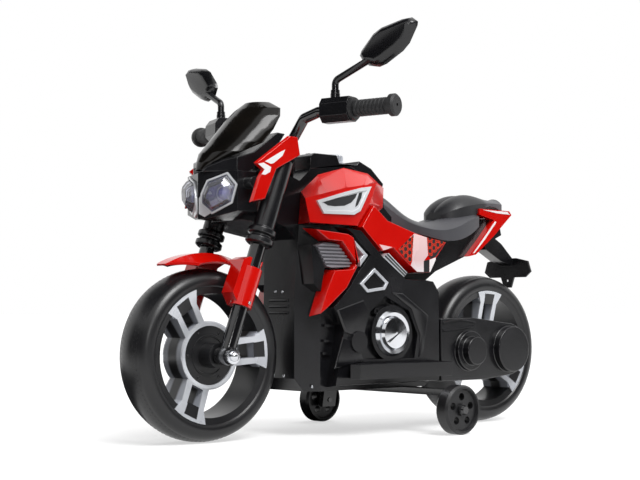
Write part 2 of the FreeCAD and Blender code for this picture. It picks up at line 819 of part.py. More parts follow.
def pod(name, with_button):
    """A switch pod round the bar, with a boss on top for the mirror."""
    body = on_bar(name)
    high = C.pod_half
    outline = [(-18.0, -high * 0.7), (-22.0, 0.0), (-17.0, high * 0.8), (-8.0, high), (10.0, high),
               (17.0, high * 0.5), (17.0, -high * 0.5), (8.0, -high), (-9.0, -high)]
    start = pod_start()
    pad(body, draw(sketch_on(body, "XZ_Plane", -start), outline), C.pod_length, flip=True)
    boss = circle(sketch_on(body, "XY_Plane", high - 4), 0.0, mirror_along(), C.stem_wire + 2)
    pad(body, boss, 11.0)
    bore = circle(sketch_on(body, "XZ_Plane", -start + 1), 0.0, 0.0, C.bar_radius + 0.1)
    pocket(body, bore, C.pod_length + 2, flip=False)
    pin_hole = C.mirror_pin + C.running_clearance
    pocket(body, circle(sketch_on(body, "XY_Plane", high + 7), 0.0, mirror_along(), pin_hole), 9.0)
    if with_button:
        opening = C.button_radius + C.seat_clearance
        well = circle(sketch_on(body, "YZ_Plane", -24.0), button_along(), 2.0, opening)
        pocket(body, well, 13.0, flip=True)
    return body


def make_pods():
    left = pod("switch_pod_left", True)
    right = pod("switch_pod_right", False)
    group([left, mirrored(right, "switch_pod_right_side")], "switch_pods")
    button = on_bar("horn_button")
    face = circle(sketch_on(button, "YZ_Plane", -25.0), button_along(), 2.0, C.button_radius)
    pad(button, face, 14.0 - C.button_travel - 0.3)
    keep(button, "horn_button")


def mirror_body(name):
    x, y, z = mirror_foot()
    return place(new_body(name), x - 22, y + 68, z + 51, (0, 0, 1), C.mirror_turn)


def make_mirrors():
    """A bent stem with a leaf-shaped housing, and the glass in its back."""
    x, y, z = mirror_foot()
    gap = C.seat_clearance.value
    path = bent_path([(x, y, z + gap), (x, y, z + 20), (x - 17, y + 65, z + 48)], 10.0)
    depth = 8.0
    foot = Part.makeCylinder(C.stem_wire.value + 1.5, 5.0, Vector(x.value, y.value, z.value + gap))
    peg = Part.makeCylinder(C.mirror_pin.value, depth + gap, Vector(x.value, y.value, z.value - depth))
    stem = shaped("mirror_stem", tube_along(path, C.stem_wire.value).fuse([foot, peg]))

    head = mirror_body("mirror_head")
    outline = eased([(-20.0, -12.0), (-32.0, 6.0), (4.0, 41.0), (64.0, 52.0), (79.0, 41.0), (58.0, 6.0),
                     (10.0, -18.0)], 0.17)
    back = draw(sketch_on(head, "YZ_Plane", -4.0), outline)
    middle = draw(sketch_on(head, "YZ_Plane", 6.0), inset(outline, 3.0))
    ridge = draw(sketch_on(head, "YZ_Plane", 13.0), inset(outline, 12.0))
    loft(head, [back, middle, ridge])
    lens = draw(sketch_on(head, "YZ_Plane", -4.0), inset(outline, 2.5))
    pocket(head, lens, 2.5, flip=True)
    left = keep(fuse([stem, head], "mirror_left"), "mirror_left")
    keep(mirrored(left, "mirror_right"), "mirror_right")

    glass = mirror_body("mirror_glass_left")
    pad(glass, draw(sketch_on(glass, "YZ_Plane", -3.5), inset(outline, 2.7)), 2.0)
    keep(glass, "mirror_glass_left")
    keep(mirrored(glass, "mirror_glass_right"), "mirror_glass_right")


# Headlight and cowl

def lens_outline():
    """The left lens on its own face: across from the nose, and up from the axle."""
    return [(2.0, 246.0), (12.0, 265.0), (46.0, 275.0), (61.0, 258.0), (53.0, 232.0), (20.0, 218.0),
            (2.0, 232.0)]


def on_lens_face(name):
    return place(new_body(name), X_HEAD + 2, 6.0, Z_HEAD, (0, 0, 1), C.lens_turn)


def lens_sketch(body, points, depth):
    return draw(sketch_on(body, "YZ_Plane", depth), points)


def hollowed(body, sketches):
    """Cut a tapering hollow through sketches."""
    item = body.newObject("PartDesign::SubtractiveLoft", f"{body.Name}_hollow")
    item.Profile = sketches[0]
    item.Sections = sketches[1:]
    item.Ruled = True
    return settle(item)


def lens_sketches(body, *steps):
    """The lens outline drawn in by a distance at each depth."""
    return [lens_sketch(body, inset(lens_outline(), drawn_in), depth) for drawn_in, depth in steps]


def make_lamps():
    """Clear faceted lenses, and the bowls behind them."""
    lens = on_lens_face("lens_left")
    loft(lens, lens_sketches(lens, (0.0, 0.3), (4.0, 9.0), (12.0, 16.0)))
    hollowed(lens, lens_sketches(lens, (2.2, 0.3), (6.2, 8.0), (13.4, 14.2)))
    group([lens, mirrored(lens, "lens_right")], "headlight_lenses")
    bowl = on_lens_face("reflector_left")
    loft(bowl, lens_sketches(bowl, (0.5, 0.0), (13.0, -20.0)))
    hollowed(bowl, lens_sketches(bowl, (2.5, 0.0), (14.5, -18.0)))
    group([bowl, mirrored(bowl, "reflector_right")], "headlight_reflectors")


def make_headlight():
    """The housing: pointed in plan, raised at its lower corners, with a well behind each lens."""
    make_lamps()
    housing = new_body("headlight_block")
    place(housing, X_HEAD, 0.0, Z_HEAD)
    half = C.fork_half
    plan = [(6.0, 0.0), (-21.0, half), (-57.0, half), (-57.0, -half), (-21.0, -half)]
    foot = 204.0
    pad(housing, draw(sketch_on(housing, "XY_Plane", foot), plan), 76.0)
    chin = [(-half - 1, foot + 15), (-16.0, foot + 4), (16.0, foot + 4), (half + 1, foot + 15),
            (half + 1, foot - 1), (-half - 1, foot - 1)]
    pocket(housing, draw(sketch_on(housing, "YZ_Plane", 10.0), chin), 80.0)
    reach = C.wing_half - C.wing_thickness - half + 1
    for sign in (1, -1):
        boss = circle(sketch_on(housing, "XZ_Plane", -sign * (half - 1)), -40.0, 262.0, 9.0)
        pad(housing, boss, reach, flip=sign > 0)
    wells = []
    for across in (half, -half):
        slot = raked(new_body("sleeve_slot"), across)
        ring = circle(sketch_on(slot, "XY_Plane", SLEEVE_FOOT), 0.0, 0.0, C.sleeve_radius + C.seat_clearance)
        pad(slot, ring, C.sleeve_length)
        wells.append(slot)
    well = on_lens_face("lens_well")
    pad(well, lens_sketch(well, inset(lens_outline(), -C.seat_clearance.value), -22.0), 40.0)
    wells += [well, mirrored(well, "lens_well_mirrored"), doc.getObject("lower_yoke_plate")]
    keep(cut(housing, wells, "headlight_shell"), "headlight_shell")


def make_screen(cowl):
    """Curved screen, narrow at the nose and wide at its top."""
    screen = new_body("screen_blank")
    skin = 3.5
    sections = []
    steps = ((284, 8, 2, 10), (296, 4, -8, 22), (312, -6, -40, 48), (328, -22, -74, 57),
             (350, -42, -92, 60), (372, -62, -106, 59), (386, -76, -112, 52), (398, -90, -112, 26))
    for high, nose, side, across in steps:
        points = [(X_HEAD + side, across), (X_HEAD + side - skin, across - 1.0),
                  (X_HEAD + side - skin, 1.0 - across), (X_HEAD + side, -across)]
        bulges = {1: (X_HEAD + nose - skin, 0.0), 3: (X_HEAD + nose, 0.0)}
        sections.append(draw(sketch_on(screen, "XY_Plane", Z_HEAD + high), points, bulges))
    loft(screen, sections)
    keep(cut(screen, [cowl], "windscreen"), "windscreen")


def make_cowl():
    cowl = new_body("cowl_block")
    half = 58.0
    side = fronts((6, 280), (2, 288), (-14, 298), (-58, 312), (-104, 346), (-120, 345), (-112, 334),
                  (-94, 318), (-48, 280))
    pad(cowl, side_sketch(cowl, side, -half), 2 * half, flip=True)
    for sign in (1, -1):
        corner = [(X_HEAD + 12, sign * 4.0), (X_HEAD - 26, sign * half), (X_HEAD - 30, sign * (half + 4)),
                  (X_HEAD + 30, sign * (half + 4))]
        pocket(cowl, draw(sketch_on(cowl, "XY_Plane", Z_HEAD + 270), corner), 100.0, flip=True)
    keep(cowl, "front_cowl")
    make_screen(cowl)

    wing = new_body("wing_left")
    outline = fronts((-103, 338), (-120, 338), (-126, 308), (-78, 283), (-56, 236), (-28, 230), (-43, 270),
                     (-50, 281), (-36, 291))
    bevelled_plate(wing, outline, C.wing_half - C.wing_thickness, C.wing_half, 2.0)
    group([wing, mirrored(wing, "wing_right")], "cowl_wings")


# Body

def block_outline():
    floor = -C.body_floor
    return [front(-154, -40), (front_x(-166), AXLE + floor), (rear_x(190), AXLE + floor), rear(172, -44),
            rear(172, 118), front(-365, 122), front(-306, 160), front(-258, 202), front(-160, 204),
            front(-154, 103)]


def core_outline():
    """Tank core and tail, behind the neck."""
    return (fronts((-190, 296), (-270, 308), (-350, 276), (-352, 242), (-388, 211))
            + rears((172, 206), (92, 220), (-28, 238), (-36, 206), (52, 168), (137, 136), (186, 104))
            + fronts((-365, 100), (-300, 140), (-160, 180)))


def spine_outline():
    """Tank core and tail with the neck that carries the steering bush."""
    low = YOKE_FOOT + C.yoke_height + 3
    high = SLEEVE_TOP - 2
    ahead = -C.steering_offset + 22
    behind = -C.steering_offset - 26
    neck = [fork(behind, low), fork(ahead, low), fork(ahead, high), fork(behind, high)]
    return neck + core_outline()


def body_solid(name, spine, depth):
    """Lower block with bevelled front corners, and the spine on top of it, drawn in by a depth."""
    body = new_body(name)
    side_plate(body, inset(block_outline(), value_of(depth)), 0.0, C.body_half - depth)
    tip = front_x(-140)
    corner = [(tip, C.body_half - 32 - depth * 1.2), (front_x(-190) - depth * 1.8, C.body_half + 1),
              (tip, C.body_half + 1)]
    pocket(body, draw(sketch_on(body, "XY_Plane", 0.0), corner), AXLE * 3, flip=True)
    side_plate(body, inset(spine, value_of(depth)), 0.0, C.spine_half - depth)
    return body


def half_shell():
    """The left half of the body, hollow and open at the split plane, with the duct beside the grille."""
    outside = body_solid("body_outside", spine_outline(), 0.0)
    duct = fronts((-158, 172), (-166, 168), (-186, 136), (-178, 98), (-164, 110))
    side_plate(outside, duct, C.body_half - 24, C.grille_half - 3)
    inside = body_solid("body_inside", core_outline(), C.wall)
    return cut(outside, [inside], "body_hollow")


def bush_hole():
    hole = raked(new_body("bush_hole"))
    ring = sketch_on(hole, "XY_Plane", YOKE_FOOT)
    circle(ring, -C.steering_offset, 0.0, C.bush_radius + 0.1)
    pad(hole, ring, SLEEVE_TOP - YOKE_FOOT + 10)
    return hole


def make_body():
    left = cut(half_shell(), [bush_hole()], "body_left")
    keep(left, "body_left")
    keep(mirrored(left, "body_right"), "body_right")


def make_insides():
    floor = AXLE - C.body_floor + C.wall
    start = front_x(-166) - C.battery_length - 53
    battery = box("battery", (C.battery_length, C.battery_width, C.battery_height),
                  (start, -C.battery_width / 2, floor))
    keep(battery, "battery")
    board = box("control_board", (70.0, 50.0, 9.0), (start + 15, -25.0, floor + C.battery_height))
    keep(board, "control_board")


def make_tank():
    side = new_body("tank_left")
    inner = fronts((-165, 206), (-170, 258), (-206, 288), (-262, 303), (-316, 297), (-352, 275), (-350, 242),
                   (-300, 206))
    outer = fronts((-150, 206), (-139, 243), (-188, 255), (-236, 266), (-280, 273), (-312, 279), (-296, 246),
                   (-262, 206))
    hinge = front_x(-139)
    loft(side, [side_sketch(side, inner, C.spine_half),
                side_sketch(side, outer, C.tank_half, hinge, C.tank_tilt)])
    keep(side, "tank_left")
    keep(mirrored(side, "tank_right"), "tank_right")

    badge = new_body("badge_left")
    frame = fronts((-164, 241), (-180, 221), (-252, 223), (-268, 230), (-296, 272), (-270, 268), (-232, 259))
    proud = 3.0
    pad(badge, side_sketch(badge, frame, C.tank_half, hinge, C.tank_tilt), proud, flip=True)
    dish = inset(frame, 6.0)
    pocket(badge, side_sketch(badge, dish, C.tank_half + proud, hinge, C.tank_tilt), 1.5, flip=True)
    group([badge, mirrored(badge, "badge_right")], "tank_badges")

    make_tank_top()


def dash_top():
    """Middle of the flat dash in front of the tank cap."""
    return front(-222, 323)


def make_tank_top():
    top = new_body("tank_top_blank")
    cx, cz = front(-272, 310)
    r = C.fuel_cap
    rim = r + 3
    well = [(cx + rim + 7, level(323)), (cx + rim + 1, cz), (cx - rim - 1, cz), (cx - rim - 7, level(317))]
    roof = (fronts((-190, 296), (-190, 318), (-198, 323)) + well
            + fronts((-324, 306), (-352, 282), (-350, 276), (-270, 308)))
    half = C.spine_half
    pad(top, side_sketch(top, roof, -half), half * 2, flip=True)
    x, z = dash_top()
    well = [(x - 9, -6.0), (x + 9, -6.0), (x + 9, 6.0), (x - 9, 6.0)]
    pocket(top, draw(sketch_on(top, "XY_Plane", z), well), 14.0)
    keep(top, "tank_top")

    cap = new_body("tank_cap")
    place(cap, cx, 0.0, cz)
    high = 18.0
    profile = [(0.0, 0.0), (rim, 0.0), (rim, 4.0), (r, 5.0), (r, high - 3), (r - 3, high), (0.0, high)]
    revolve(cap, draw(sketch_on(cap, "XZ_Plane", 0.0), profile))
    flute = [(r - 1.5, -1.5), (rim + 3, -1.5), (rim + 3, 1.5), (r - 1.5, 1.5)]
    groove = pocket(cap, draw(sketch_on(cap, "XY_Plane", high + 1), flute), high - 5)
    repeat_round(cap, [groove], 14, "Z_Axis")
    keep(cap, "tank_cap")

    rocker = new_body("power_switch")
    place(rocker, x, 0.0, z - 4)
    profile = [(-7.6, -3.0), (-7.6, 7.5), (0.0, 5.5), (7.6, 7.5), (7.6, -3.0)]
    pad(rocker, draw(sketch_on(rocker, "XZ_Plane", -5.5), profile), 11.0)
    keep(rocker, "power_switch")


def shroud_outline():
    return fronts((-150, 198), (-228, 192), (-240, 186), (-252, 148), (-247, 136), (-225, 103), (-183, 70),
                  (-164, 58), (-180, 100), (-197, 133), (-236, 136), (-243, 144), (-213, 176), (-184, 178))


def make_shrouds():
    shroud = new_body("shroud_left")
    bevelled_plate(shroud, shroud_outline(), C.body_half, C.shroud_half, 2.0)
    keep(shroud, "shroud_left")
    keep(mirrored(shroud, "shroud_right"), "shroud_right")

    grille = new_body("grille_left")
    outline = fronts((-168, 170), (-185, 176), (-212, 174), (-241, 144), (-236, 138), (-198, 136),
                     (-188, 138))
    side_plate(grille, outline, C.body_half, C.grille_half)
    x, z = front(-260, 140)
    slat = [(x, z), (x + 100, z), (x + 100, z + C.slat_pitch / 2), (x, z + C.slat_pitch / 2)]
    gap = pocket(grille, side_sketch(grille, slat, C.grille_half + 1), 4.0, flip=True)
    repeat_line(grille, [gap], (origin_plane(grille, "Z_Axis"), [""]), C.slat_pitch * 6, 7)
    group([grille, mirrored(grille, "grille_right")], "radiator_grilles")


def cover_outline():
    return (fronts((-215, 203), (-260, 200), (-306, 160), (-362, 122))
            + rears((187, 120), (172, 100), (172, -52))
            + fronts((-200, -54), (-212, 0), (-220, 46), (-196, 72), (-228, 103), (-254, 136), (-276, 158),
                     (-243, 187)))


def cap_centre():
    return front(-330, 31)


def make_engine():
    cover = new_body("engine_cover_left")
    bevelled_plate(cover, cover_outline(), C.body_half, C.cover_half, 3.0)
    window = fronts((-278, 66), (-312, 92), (-366, 68), (-386, 28), (-378, -11), (-268, -11), (-262, 20))
    x, z = cap_centre()
    seat = circle(sketch_on(cover, "XZ_Plane", -C.cover_half), x, z, C.cap_radius + 8)
    pocket(cover, seat, C.recess_depth, flip=True)
    pocket(cover, side_sketch(cover, window, C.cover_half), C.recess_depth, flip=True)
    ring = sketch_on(cover, "XZ_Plane", -C.cover_half + C.recess_depth + 1)
    circle(ring, x, z, C.cap_radius + 8)
    circle(ring, x, z, C.cap_radius + 0.3)
    pad(cover, ring, C.recess_depth - 2, flip=True)
    boss = circle(sketch_on(cover, "XZ_Plane", -C.cover_half + 1), x + C.cap_radius + 42, level(18), 17.0)
    pad(cover, boss, 7.0, flip=True)
    keep(cover, "engine_cover_left")
    right = mirrored(cover, "engine_cover_plain")
    sx, sz = socket_place()
    hole = cross_rod("socket_hole", C.socket_radius + 0.1, sx, sz, -C.cover_half - 10, -C.body_half + 10)
    keep(cut(right, [hole], "engine_cover_right"), "engine_cover_right")

    cap = new_body("engine_cap_left")
    place(cap, x, 0.0, z)
    base = C.cover_half - C.recess_depth
    r = C.cap_radius
    dome = [(0.0, base), (r, base), (r, base + 10), (r - 4, base + 15), (r - 10, base + 13),
            (r - 13, base + 18), (0.0, base + 21)]
    revolve(cap, draw(sketch_on(cap, "XY_Plane", 0.0), dome))
    group([cap, mirrored(cap, "engine_cap_right")], "engine_caps")
    make_trims()


def make_trims():
    """Silver chevron, ring and striped bar on each side."""
    face = C.cover_half
    chevron = new_body("chevron_left")
    arrow = fronts((-243, 181), (-272, 157.5), (-255, 139), (-254.5, 150), (-263, 158), (-247, 171))
    side_plate(chevron, arrow, C.body_half, face + 2)
    ring = new_body("ring_left")
    outer = fronts((-286, 137), (-317, 114), (-309, 102), (-270, 97), (-254, 111))
    sketch = side_sketch(ring, outer, face)
    draw(sketch, inset(outer, 5.0))
    pad(ring, sketch, 3.0, flip=True)
    bar = new_body("striped_bar_left")
    rail = fronts((-315, 154.6), (-328, 163), (-371, 131), (-363, 123.7))
    side_plate(bar, rail, C.spine_half, C.cover_half - 8)
    lefts = [chevron, ring, bar]
    group(lefts + [mirrored(item, f"{item.Name}_mirrored") for item in lefts], "frame_trims")


def socket_place():
    return rear(204, 60)


def make_socket():
    socket = new_body("charging_socket")
    x, z = socket_place()
    place(socket, x, 0.0, z)
    near = -C.body_half
    face = -C.cover_half
    points = [(0.0, near), (C.socket_radius, near), (C.socket_radius, face), (C.socket_radius + 3, face),
              (C.socket_radius + 2, face - 2), (C.socket_bore, face - 2), (C.socket_bore, face + 8),
              (0.0, face + 8)]
    revolve(socket, draw(sketch_on(socket, "XY_Plane", 0.0), points))
    keep(socket, "charging_socket")


def make_side_panels(tank):
    panel = new_body("side_panel_blank")
    outline = (fronts((-300, 244), (-332, 219), (-395, 201), (-430, 193))
               + rears((138, 187), (166, 156), (182, 131))
               + fronts((-398, 131), (-380, 143), (-344, 170), (-326, 166), (-318, 164), (-272, 204)))
    bevelled_plate(panel, outline, C.spine_half, C.panel_half, 2.0)
    left = cut(panel, [tank], "side_panel_left")
    keep(left, "side_panel_left")
    keep(mirrored(left, "side_panel_right"), "side_panel_right")
    return left


# Seat and tail

def arch_wire(x, half, low, side, top):
    """A cross-section with upright sides and a domed top."""
    foot = [Vector(x, y, low) for y in (-half, half)]
    knee = [Vector(x, y, side) for y in (-half, half)]
    crown = Vector(x, 0, top)
    rise = top - side
    bows = [Vector(x, y * 0.74, side + rise * 0.78) for y in (-half, half)]
    return Part.Wire([
        Part.LineSegment(foot[0], knee[0]).toShape(), Part.Arc(knee[0], bows[0], crown).toShape(),
        Part.Arc(crown, bows[1], knee[1]).toShape(), Part.LineSegment(knee[1], foot[1]).toShape(),
        Part.LineSegment(foot[1], foot[0]).toShape()])


def arched(name, sections):
    """A solid through cross-sections given as X, half width, foot, side and top."""
    wires = [arch_wire(*[value_of(size) for size in section]) for section in sections]
    return shaped(name, Part.makeLoft(wires, True, False))


def spine_tool(name, grow):
    """The closed outside of the neck and tail, to cut what seats on it."""
    tool = new_body(name)
    half = C.spine_half + grow
    pad(tool, side_sketch(tool, inset(spine_outline(), -grow), -half), half * 2, flip=True)
    return tool


def make_seat(neighbours):
    spine = spine_tool("spine_tool", 0.2)

    def at(point, half, low, side, top):
        return (point[0], half, level(low), level(side), level(top))

    sections = [at(front(-346, 0), 22, 226, 250, 262), at(front(-366, 0), 34, 214, 240, 262),
                at(front(-392, 0), 48, 204, 222, 240), at(front(-430, 0), 58, 196, 210, 222),
                at(rear(112, 0), 60, 190, 212, 226), at(rear(72, 0), 56, 200, 226, 238),
                at(rear(36, 0), 48, 218, 236, 244)]
    seat = cut(arched("seat_blank", sections), [spine] + neighbours, "seat")
    keep(seat, "seat")
    pads = [at(rear(104, 0), 18, 226, 236, 242), at(rear(90, 0), 37, 220, 246, 257),
            at(rear(62, 0), 44, 228, 254, 271), at(rear(24, 0), 42, 248, 260, 274),
            at(rear(-40, 0), 34, 248, 262, 272)]
    pillion = cut(arched("pillion_blank", pads), [seat, spine, doc.getObject("tail_cover")], "pillion_pad")
    keep(pillion, "pillion_pad")
    return seat


def make_tail():
    tail = new_body("tail_cover")
    arm = rears((34, 251), (-46, 250), (-52, 243), (-4, 203), (44, 168), (64, 164), (26, 200), (-4, 232),
                (34, 240))
    side_plate(tail, arm, C.spine_half, C.spine_half + 11)
    pad(tail, side_sketch(tail, arm, -C.spine_half - 11), 11.0, flip=True)
    bridge = rears((-36.5, 239), (-36.5, 250), (-46, 250), (-52, 243), (-47, 239))
    pad(tail, side_sketch(tail, bridge, -C.spine_half - 1), C.spine_half * 2 + 2, flip=True)
    keep(tail, "tail_cover")

    bracket = new_body("plate_bracket")
    under = between(rear(-36, 206), rear(52, 168), 0.2727)
    stalk = [under] + rears((-36, 206), (-62, 192), (-92, 166), (-92, 152), (-60, 160), (-20, 180))
    wide = 26.0
    pad(bracket, side_sketch(bracket, stalk, -wide / 2), wide, flip=True)
    right = [(9, 111), (16, 130), (44, 130), (57, 140), (50, 160), (22, 166)]
    plate = [(y, level(z)) for y, z in right] + [(-y, level(z)) for y, z in reversed(right)]
    back = rear_x(-92)
    blade = draw(sketch_on(bracket, "YZ_Plane", back - C.plate_thickness), plate)
    pad(bracket, blade, C.plate_thickness)
    hole = circle(sketch_on(bracket, "YZ_Plane", back + 1), 0.0, level(124), C.plate_hole)
    pocket(bracket, hole, C.plate_thickness + 2)
    keep(bracket, "plate_bracket")


# Foot rests, rear covers and drive

def rest_plan():
    inner = C.cover_half
    outer = C.rest_half
    return [(front_x(-236), inner), (front_x(-210), outer - 12), (front_x(-220), outer), (rear_x(185), outer),
            (rear_x(175), outer - 10), (rear_x(175), inner)]


def pedal_place():
    """Rear upper edge of the pedal, on the right foot rest."""
    return (front_x(-330), -C.rest_half + 8, AXLE - 17)


def make_foot_rests():
    rest = new_body("foot_rest_left")
    top = AXLE - 17
    pad(rest, draw(sketch_on(rest, "XY_Plane", top - C.rest_thickness), rest_plan()), C.rest_thickness)
    x = rear_x(186)
    near, far = C.cover_half + 6, C.rest_half - 6
    groove = [(x, near), (x + 4, near), (x + 4, far), (x, far)]
    line = pocket(rest, draw(sketch_on(rest, "XY_Plane", top), groove), 1.5)
    repeat_line(rest, [line], (origin_plane(rest, "X_Axis"), [""]), STRETCH * 176.0, 12)
    px, py, pz = pedal_place()
    gap = 0.8
    well = box("pedal_well", (C.pedal_length + 2 * gap, C.pedal_width + 2 * gap, 30.0),
               (px - gap, py - gap, pz - 14))
    right = cut(mirrored(rest, "foot_rest_right"), [well], "foot_rest_right")
    group([rest, right], "foot_rests")

    pedal = new_body("accelerator_pedal")
    place(pedal, px, py, pz)
    side = [(0.5, -7.0), (0.0, 1.0), (C.pedal_length, 9.0), (C.pedal_length, 1.0)]
    pad(pedal, draw(sketch_on(pedal, "XZ_Plane", 0.0), side), C.pedal_width, flip=True)
    keep(pedal, "accelerator_pedal")


def motor_place():
    return rear(104, -1)


def make_rear():
    arm = new_body("gearbox_cover")
    near, far = C.arm_inner, C.arm_half
    outline = rears((172, 54), (92, 56), (0, 46), (0, -46), (60, -52), (172, -52))
    side_plate(arm, outline, near, far)
    mx, mz = motor_place()
    rounds = ((X_REAR, AXLE, C.arm_round, far), (X_REAR, AXLE, C.arm_round - 6, far + 13),
              (mx, mz, 34.0, far + 8), (mx, mz, 24.0, far + 22))
    for x, z, radius, reach in rounds:
        pad(arm, circle(sketch_on(arm, "XZ_Plane", -near), x, z, radius), reach - near, flip=True)
    room = rears((172, 54), (92, 56), (20, 46), (20, -46), (60, -52), (172, -52))
    pocket(arm, side_sketch(arm, inset(room, C.wall.value), near), far - near - C.wall, flip=False)
    can = circle(sketch_on(arm, "XZ_Plane", -near), mx, mz, C.motor_radius + 0.4)
    pocket(arm, can, far - near + 18, flip=False)
    bore = circle(sketch_on(arm, "XZ_Plane", -near), X_REAR, AXLE, C.axle_radius + 0.1)
    pocket(arm, bore, far - near - C.wall, flip=False)
    keep(arm, "gearbox_cover")
    keep(mirrored(arm, "swingarm_cover"), "swingarm_cover")

    gears = new_body("drive_gearbox")
    case = inset(room, C.wall.value + 0.4)
    case_far = far - 20
    side_plate(gears, case, near + 1, case_far)
    keep(gears, "drive_gearbox")
    motor = cross_rod("drive_motor", C.motor_radius, mx, mz, case_far, far + 17)
    keep(motor, "drive_motor")


def stabiliser_x():
    return rear_x(224)


def make_stabilisers():
    x = stabiliser_x()
    under = AXLE - C.body_floor
    ear = C.stabiliser_half - C.stabiliser_width / 2 - 4
    bracket = new_body("stabiliser_frame")
    thick = 10.0
    low = C.stabiliser_radius - 12
    front_view = [(-ear, low), (-ear, under), (ear, under), (ear, low), (ear - 8, low),
                  (ear - 14, under - thick), (-ear + 14, under - thick), (-ear + 8, low)]
    wide = 30.0
    pad(bracket, draw(sketch_on(bracket, "YZ_Plane", x - wide / 2), front_view), wide)
    holes = circle(sketch_on(bracket, "XZ_Plane", -ear - 5), x, C.stabiliser_radius, C.pin_radius + 0.1)
    pocket(bracket, holes, ear * 2 + 10, flip=True)
    pins = []
    wheels = []
    for side in ("left", "right"):
        sign = 1 if side == "left" else -1
        pin_body = new_body(f"stabiliser_pin_{side}")
        place(pin_body, x, 0.0, C.stabiliser_radius)
        outer = (C.stabiliser_half + C.stabiliser_width / 2 + 0.4) * sign
        inner = (ear - 12) * sign
        half = [(0.0, inner), (C.pin_radius, inner), (C.pin_radius, outer), (C.pin_radius + 4, outer),
                (C.pin_radius + 2, outer + 4 * sign), (0.0, outer + 4 * sign)]
        revolve(pin_body, draw(sketch_on(pin_body, "XY_Plane", 0.0), half))
        pins.append(pin_body)
    group([bracket] + pins, "stabiliser_bracket")
    left = new_body("stabiliser_wheel_left")
    place(left, x, 0.0, C.stabiliser_radius)
    r = C.stabiliser_radius
    near = C.stabiliser_half - C.stabiliser_width / 2
    far = C.stabiliser_half + C.stabiliser_width / 2
    bore = C.pin_radius + C.running_clearance
    profile = [(bore, near), (10.0, near), (10.0, near + 5), (r - 8, near + 5), (r - 6, near), (r - 3, near),
               (r, near + 4), (r, far - 4), (r - 3, far), (r - 6, far), (r - 8, far - 5), (10.0, far - 5),
               (10.0, far), (bore, far)]
    revolve(left, draw(sketch_on(left, "XY_Plane", 0.0), profile))
    hole = circle(sketch_on(left, "XZ_Plane", -near + 5), 0.0, 21.0, 6.0)
    repeat_round(left, [pocket(left, hole, C.stabiliser_width + 10, flip=False)], 5)
    keep(left, "stabiliser_wheel_left")
    keep(mirrored(left, "stabiliser_wheel_right"), "stabiliser_wheel_right")


def build():
    make_wheels()
    make_axles()
    make_fork()
    make_yokes()
    make_bush()
    make_fender()
    make_handlebar()
    make_grips()
    make_pods()
    make_mirrors()
    make_headlight()
    make_cowl()
    make_body()
    make_insides()
    make_tank()
    make_shrouds()
    make_engine()
    make_socket()
    tanks = [doc.getObject("tank_left"), doc.getObject("tank_right")]
    panel = make_side_panels(tanks[0])
    make_tail()
    make_seat(tanks + [panel, doc.getObject("side_panel_right"), doc.getObject("tail_cover")])
    make_foot_rests()
    make_rear()
    make_stabilisers()


def export():
    """Check every object, then write each sub-part to its own file."""
    doc.recompute()
    for obj in doc.Objects:
        if "Invalid" in obj.State or "Error" in obj.State:
            raise RuntimeError(f"{obj.Label} failed: {obj.State}")
    for obj in PARTS:
        if obj.Shape.isNull() or not obj.Shape.isValid() or not obj.Shape.Solids:
            raise RuntimeError(f"{obj.Label} has no valid solid")
    os.makedirs("parts", exist_ok=True)
    for obj in PARTS:
        obj.Shape.exportStep(f"parts/{obj.Label}.step")
    print(len(PARTS), "sub-parts written")


build()
export()
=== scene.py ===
import json
import logging
import math
from collections.abc import Iterable, Sequence
from dataclasses import dataclass
from enum import Enum
from functools import cache

import bmesh
import bpy
from bmesh.types import BMFace, BMVert
from mathutils import Matrix, Vector


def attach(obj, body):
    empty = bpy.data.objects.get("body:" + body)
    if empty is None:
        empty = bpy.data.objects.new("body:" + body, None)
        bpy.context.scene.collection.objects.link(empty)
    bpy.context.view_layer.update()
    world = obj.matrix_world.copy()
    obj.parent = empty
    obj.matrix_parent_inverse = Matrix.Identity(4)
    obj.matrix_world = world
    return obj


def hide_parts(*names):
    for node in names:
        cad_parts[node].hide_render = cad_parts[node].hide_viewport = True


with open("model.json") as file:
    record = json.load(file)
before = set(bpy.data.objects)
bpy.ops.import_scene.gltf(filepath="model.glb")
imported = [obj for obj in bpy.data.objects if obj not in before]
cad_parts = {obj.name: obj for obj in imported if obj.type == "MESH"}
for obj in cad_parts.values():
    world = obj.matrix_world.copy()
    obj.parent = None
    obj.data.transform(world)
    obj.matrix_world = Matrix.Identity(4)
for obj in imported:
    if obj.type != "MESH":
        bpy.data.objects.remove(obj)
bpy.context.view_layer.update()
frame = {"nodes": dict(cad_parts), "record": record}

# Looks of a kids electric motorbike: +X forwards, +Y to the rider's left, +Z up, sizes in millimetres

MM = 0.001
AXLE_X = 306.0
AXLE_Z = 132.0
LOG = logging.getLogger("motorbike")

# Edges sharper than this keep a hard line in the shading
CREASE = math.radians(50.0)
# Angles in degrees from which an edge is rounded, and from which only the steep ones are
SHARP = 20.0
STEEP = 40.0
# Facets that turn by less than this are one flat, corners this close are one, specks this small go,
# and the seam of a turned form closes over this
FLAT = math.radians(0.6)
MERGE = 0.01
SPECK = 0.005
SEAM = 0.001
# Thickness of a foil and of a printed line, and how deep a fine grain or a screw's foot goes
FOIL = 0.4
PRINT = 0.3
GRAIN_DEPTH = 0.3
SUNK = 0.4
# Profile of a pan-head screw, as shares of its radius
PAN_HEAD = ((0.0, 0.22), (0.3, 0.22), (0.45, 0.55), (0.75, 0.495), (1.0, 0.165))
# Both point what is drawn upwards to the left. The second swaps the axes, so that a drawn y stands up.
UPRIGHT = Matrix.Rotation(math.radians(-90.0), 4, "X")
STANDING = Matrix(((1, 0, 0, 0), (0, 0, 1, 0), (0, 1, 0, 0), (0, 0, 0, 1)))

